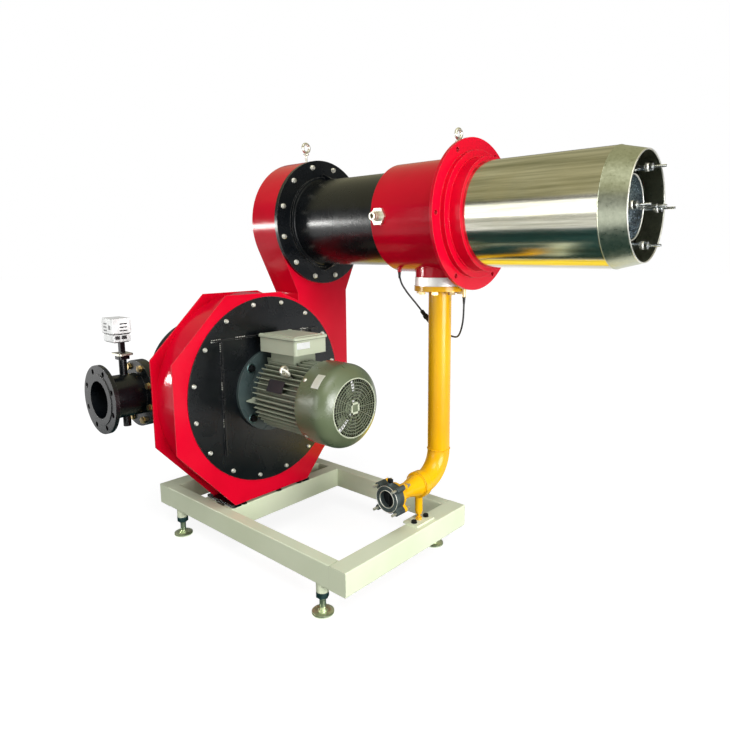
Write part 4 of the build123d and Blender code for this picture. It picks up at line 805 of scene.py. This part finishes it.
def make_fasteners():
    face_bolts("cover_bolt_heads", "cover_bolts", 9.5, 14.5, 6.5, 9.0, "bead")
    face_bolts("flange_bolt_heads", "burner_flange_bolts", 12.0, 17.5, 8.0, 11.0, "bead")
    bm = bmesh.new()
    collar_x = low("gas_manifold").x - 12
    for turn in range(0, 360, 60):
        spot = around(collar_x, TUBE_R - 1, turn + 30, (0, 0))
        out = spot - Vector((collar_x, 0, 0))
        add_lathe(bm, spot, out, ((0, 6), (2, 6), (2.2, 4.5), (6, 4.5), (6.8, 3.6)), 16)
    finish_mesh("tube_lock_screws", bm, "zinc", material=FINISH["bead"])
    bm = bmesh.new()
    bolt_x, washer = -820, 2.5
    rail_top = high("frame_cross_front").z
    for y in (-172, -292, -480):
        add_lathe(bm, (bolt_x, y, rail_top), (0, 0, 1), ((0, 13), (washer, 13)), 24)
        add_hex(bm, (bolt_x, y, rail_top + washer), (0, 0, 1), 19, 9)
    finish_mesh("casing_hold_down_bolts", bm, "dark_steel", material=FINISH["black_bolt"], smooth=False)


def make_cover_stitches():
    """Stitch welds on both sides of the cover's two ribs."""
    face = low("access_cover").x + 6.5
    near, top = FAN[0] - COVER_RIB, FAN[1] + COVER_RIB
    for side in (-1, 1):
        level, hand = ("low", "left") if side < 0 else ("high", "right")
        top_beads, near_beads = (4, 5) if side < 0 else (6, 8)
        stitches(f"rib_stitch_top_{level}", (face, FAN[0] - 280, top + side * 4),
                 (face, FAN[0] + 290, top + side * 4), 5, top_beads, 2.2, "bead")
        stitches(f"rib_stitch_near_{hand}", (face, near + side * 4, top - 12),
                 (face, near + side * 4, FAN[1] - COVER_RIB), 3, near_beads, 2.1, "bead")


def make_motor_details():
    plate_with_rivets("motor_plate", around(-598, FIN_R + 1, 25), facing(25), (92, 50), "motor_paint",
                      FINISH["dark_plate"])
    curved_plate("cowl_plate", -396, -358, COWL_R, 33, 54, "zinc", FINISH["plate"])
    bm = bmesh.new()
    for turn in (42, -42, 138, 222):
        spot = around(low("motor_cowl").x + 16, COWL_R - 0.8, turn)
        out = spot - around(spot.x, 0, 0)
        add_lathe(bm, spot, out, ((0, 8), (1.2, 8), (1.5, 6), (3.4, 5.2), (4.0, 3.4)), 20)
    finish_mesh("cowl_screws", bm, "zinc", material=FINISH["bead"])
    bm = bmesh.new()
    face = high("motor_flange").x - 57
    for turn in (-10, 80, 170, 260):
        middle = around(face + 24, 128, turn)
        add_block(bm, middle, (20, 2.0, 17), facing(turn))
    finish_mesh("motor_neck_ribs", bm, "motor_paint", material=FINISH["box"], smooth=False, bevel=1.0)
    bm = bmesh.new()
    for turn in (45, 135, 225, 315):
        spot = around(face, FIN_R, turn)
        add_lathe(bm, spot, (1, 0, 0), ((0, 21), (1.2, 20.4), (1.2, 16.6), (0.2, 16)), 32, closed=False)
    finish_mesh("motor_spot_faces", bm, "zinc", material=FINISH["teal_zinc"])
    motor_eye = [pair for pair in solids("lifting_eyes") if pair[1].z < 0][0]
    middle = (motor_eye[0] + motor_eye[1]) / 2
    out = Vector((0, -sin(pi / 4), cos(pi / 4)))
    centre = Vector((middle.x, *FAN)) + out * MOTOR_EYE_RISE
    side = Vector((1, 0, 0))
    steps = [2 * pi * i / 48 for i in range(48)]
    loop = [centre + (out * 1.35 * cos(angle) + side * sin(angle)) * 14.0 for angle in steps]
    bm = bmesh.new()
    add_tube(bm, loop, 5.2, 12, closed=True)
    finish_mesh("motor_eye_ring", bm, "motor_paint", material=FINISH["cream_eye"])


def make_grille():
    """Radial wires that divide the cowl's ring grille into cells, and the hollow square at its middle."""
    face = high("motor_cowl").x
    bm = bmesh.new()
    for i in range(60):
        turn = i * 6
        if turn % 30:
            inner = 30 if i % 2 else 55
            middle = around(face - 1.2, (inner + GRILLE_R) / 2, turn)
            add_block(bm, middle, (0.9, 0.8, (GRILLE_R - inner) / 2), facing(turn))
    finish_mesh("grille_wires", bm, "motor_paint", smooth=False, bevel=0.3)
    bm = bmesh.new()
    for along, across in (((0, 1), (1, 0)), ((0, -1), (1, 0)), ((1, 0), (0, 1)), ((-1, 0), (0, 1))):
        middle = (face + 0.8, FAN[0] + along[0] * 18, FAN[1] + along[1] * 18)
        add_block(bm, middle, (1.4, 4 + across[0] * 18, 4 + across[1] * 18))
    finish_mesh("grille_frame", bm, "motor_paint", material=FINISH["box"], smooth=False, bevel=0.5)
    bm = bmesh.new()
    add_tube(bm, circle_x(face - 1.0, GRILLE_R + 3.5, *FAN), 2.6, 10, closed=True)
    finish_mesh("cowl_mouth_rim", bm, "motor_paint", material=FINISH["box"])


def make_terminal_details():
    box_low, box_high = low("terminal_box"), high("terminal_box")
    lid_low, lid_high = low("terminal_box_lid"), high("terminal_box_lid")
    plate_with_rivets("terminal_plate", (box_high.x + 0.6, -372, box_high.z - 22),
                      Matrix(((0, 0, 1), (1, 0, 0), (0, 1, 0))), (66, 26), "zinc", FINISH["plate"], 1.2)
    bm = bmesh.new()
    middle = (lid_low + lid_high) / 2
    half = (lid_high - lid_low) / 2
    add_block(bm, (middle.x, middle.y, lid_low.z - 0.6), (half.x - 3.5, half.y - 3.5, 1.6))
    finish_mesh("lid_gasket", bm, "plug_plastic", smooth=False, bevel=1.0)
    bm = bmesh.new()
    add_block(bm, (middle.x, middle.y, lid_high.z + 1.2), (half.x - 24, half.y - 22, 2.0))
    for x in (-1, 1):
        for y in (-1, 1):
            corner = (middle.x + x * (half.x - 13), middle.y + y * (half.y - 13), lid_high.z - 0.4)
            add_lathe(bm, corner, (0, 0, 1), ((0, 8), (2.4, 7.6), (2.8, 5), (1.2, 4.4), (1.2, 0.4)), 20)
    finish_mesh("lid_relief", bm, "motor_paint", material=FINISH["box"], smooth=False, bevel=1.2)
    bm = bmesh.new()
    for x in (-45, 35):
        start = Vector((middle.x + x, box_high.y - 2, (box_low.z + box_high.z) / 2 - 4))
        add_hex(bm, start, (0, 1, 0), 30, 9)
        add_lathe(bm, start + Vector((0, 8, 0)), (0, 1, 0),
                  ((0, 12.5), (7, 12.5), (10, 9), (10, 4), (6, 3.6)), 28)
    finish_mesh("terminal_glands", bm, "plug_plastic", smooth=False, bevel=0.8)


def make_actuator():
    """Damper actuator: two-part housing with a seam, position window, screws, gland and mounting skirt."""
    lowest, highest = low("actuator"), high("actuator")
    middle, half = (lowest + highest) / 2, (highest - lowest) / 2
    seam = lowest.z + 34
    bm = bmesh.new()
    add_block(bm, (middle.x, middle.y, (lowest.z + 3 + seam) / 2),
              (half.x - 4, half.y - 4, (seam - lowest.z - 3) / 2))
    add_block(bm, (middle.x, middle.y, (seam + 3 + highest.z) / 2),
              (half.x, half.y, (highest.z - seam - 3) / 2))
    case = finish_mesh("actuator_case", bm, "cast_alloy", material=FINISH["white_case"], smooth=False,
                       bevel=4.0)
    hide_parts("actuator")
    bm = bmesh.new()
    add_block(bm, (middle.x, middle.y, seam + 1.5), (half.x - 6, half.y - 6, 4))
    add_block(bm, (middle.x, middle.y, lowest.z + 3), (half.x - 10, half.y - 10, 3))
    for y in (-20, 8):
        add_block(bm, (highest.x - 2, middle.y + y, seam - 12), (1.6, 10, 7))
    for z in (seam + 16, seam + 30, seam + 44):
        add_block(bm, (middle.x - 14, lowest.y + 1.5, z), (14, 2.2, 3.2))
        add_block(bm, (highest.x - 1.5, middle.y + 6, z), (2.2, 16, 2.6))
    add_block(bm, (middle.x + 24, lowest.y + 1.5, seam + 30), (9, 2.2, 9))
    finish_mesh("actuator_trim", bm, "plug_plastic", smooth=False, bevel=1.0)
    bm = bmesh.new()
    for x in (-1, 1):
        for y in (-1, 1):
            corner = (middle.x + x * (half.x - 11), middle.y + y * (half.y - 11), highest.z - 1.5)
            add_lathe(bm, corner, (0, 0, 1), ((0, 5), (1.4, 4.6), (1.5, 2.4), (0.3, 2.0)), 16)
    for z in (seam + 8, highest.z - 10):
        for y in (-1, 1):
            spot = (highest.x - 0.8, middle.y + y * (half.y - 9), z)
            add_lathe(bm, spot, (1, 0, 0), ((0, 3.8), (0.7, 3.4)), 14)
    finish_mesh("actuator_screws", bm, "zinc", material=FINISH["black_bolt"])


def make_blast_details():
    tip = high("blast_tube").x
    bm = bmesh.new()
    add_tube(bm, circle_x(tip - 2.2, BLAST_TIP_R - 1.8), 2.6, 12, closed=True)
    finish_mesh("blast_rim", bm, "blast_steel", material=FINISH["bead"])
    weld("blast_cone_seam", [circle_x(CONE_START, BLAST_R - 0.6)], 1.3, "blast_steel")
    turn = radians(75)
    seam = [(x, BLAST_R * cos(turn), BLAST_R * sin(turn)) for x in stepped(52, CONE_START - 4, 120)]
    weld("blast_long_seam", [seam], 1.2, "blast_steel", closed=False)
    bm = bmesh.new()
    add_tube(bm, circle_x(high("firing_core").x - 2.0, CORE_RIM_R), 2.4, 12, closed=True)
    finish_mesh("core_rim", bm, "dark_steel", material=FINISH["bead"])
    bm = bmesh.new()
    for degrees in range(0, 360, 90):
        spot = around(tip - 14, LANCE_CIRCLE_R, degrees, (0, 0))
        add_lathe(bm, spot, (1, 0, 0), ((0, 11.8), (3, 12.6), (9, 12.6), (12, 11), (12, 8.4)), 24)
    finish_mesh("lance_collars", bm, "zinc", material=FINISH["bead"])


def make_gas_valve_rings():
    """Machined rings on the gas valve's open face."""
    face = low("gas_valve_body").y
    centre = (GAS_X, (low("gas_valve_body").z + high("gas_valve_body").z) / 2)
    bm = bmesh.new()
    for radius, size in ((33.2, 1.5), (50.0, 1.2)):
        add_tube(bm, circle_y(face + 0.4, radius, *centre), size, 10, closed=True)
    finish_mesh("gas_valve_rings", bm, "zinc", material=FINISH["bead"])


make_gas_valve_rings()
make_fasteners()
make_cover_stitches()
make_motor_details()
make_grille()
make_terminal_details()
make_actuator()
make_blast_details()


# --- leads --------------------------------------------------------------------
LEAD_EXIT = (-292, -82, -207.2)
SENSOR_END = (-46, 0, -300)
BEFORE_PLUG = (-246, -28, -336)
PLUG_LENGTH = 60
plug_start = Vector((-238, -8, -362))
plug_axis = (plug_start - Vector(BEFORE_PLUG)).normalized()
plug_end = plug_start + plug_axis * PLUG_LENGTH


def lead(name, points, node):
    """Round cord along given points, in place of a CAD node."""
    curve = bpy.data.curves.new(name, "CURVE")
    curve.dimensions = "3D"
    curve.bevel_depth = CORD_R * MM
    curve.bevel_resolution = 6
    spline = curve.splines.new("NURBS")
    spline.points.add(len(points) - 1)
    for place, point in zip(points, spline.points):
        point.co = (place[0] * MM, place[1] * MM, place[2] * MM, 1.0)
    spline.order_u = 3
    spline.use_endpoint_u = True
    spline.resolution_u = 16
    piece = bpy.data.objects.new(name, curve)
    bpy.context.scene.collection.objects.link(piece)
    curve.materials.append(MATERIALS["cable"])
    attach(piece, "base")
    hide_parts(node)
    return piece


def make_strain_reliefs():
    """Tapered, ribbed sleeves where each lead leaves a housing."""
    down = (0, 0, -1)
    sleeves = (("relief_manifold_gland", (LEAD_EXIT[0], LEAD_EXIT[1], -205), down, 24),
               ("relief_gas_sensor", (SENSOR_END[0], SENSOR_END[1], -298), down, 24),
               ("relief_plug", plug_end - plug_axis, plug_axis, 22))
    ribs, wide, taper, groove = 6, 6.2, 1.7, 0.8
    for name, start, axis, length in sleeves:
        bm = bmesh.new()
        profile = [(0, 6.6), (2, 7.0)]
        for i in range(ribs):
            along = 3 + (length - 3) * i / (ribs - 1)
            radius = wide - taper * i / (ribs - 1)
            profile += [(along, radius), (along + 1.6, radius),
                        (along + 1.8, radius - groove), (along + 2.6, radius - groove)]
        add_lathe(bm, start, axis, profile, 28)
        finish_mesh(name, bm, "plug_plastic")


upper = lead("upper_lead", [LEAD_EXIT, (-292, -82, -240), (-266, -66, -288), BEFORE_PLUG, plug_start],
             "lead_upper")
lower = lead("lower_lead", [plug_end, plug_end + plug_axis * 33, (-170, 66, -456), (-118, 55, -466),
                            (-80, 25, -448), (-56, 10, -400), (-46, 0, -350), SENSOR_END], "lead_lower")
make_strain_reliefs()
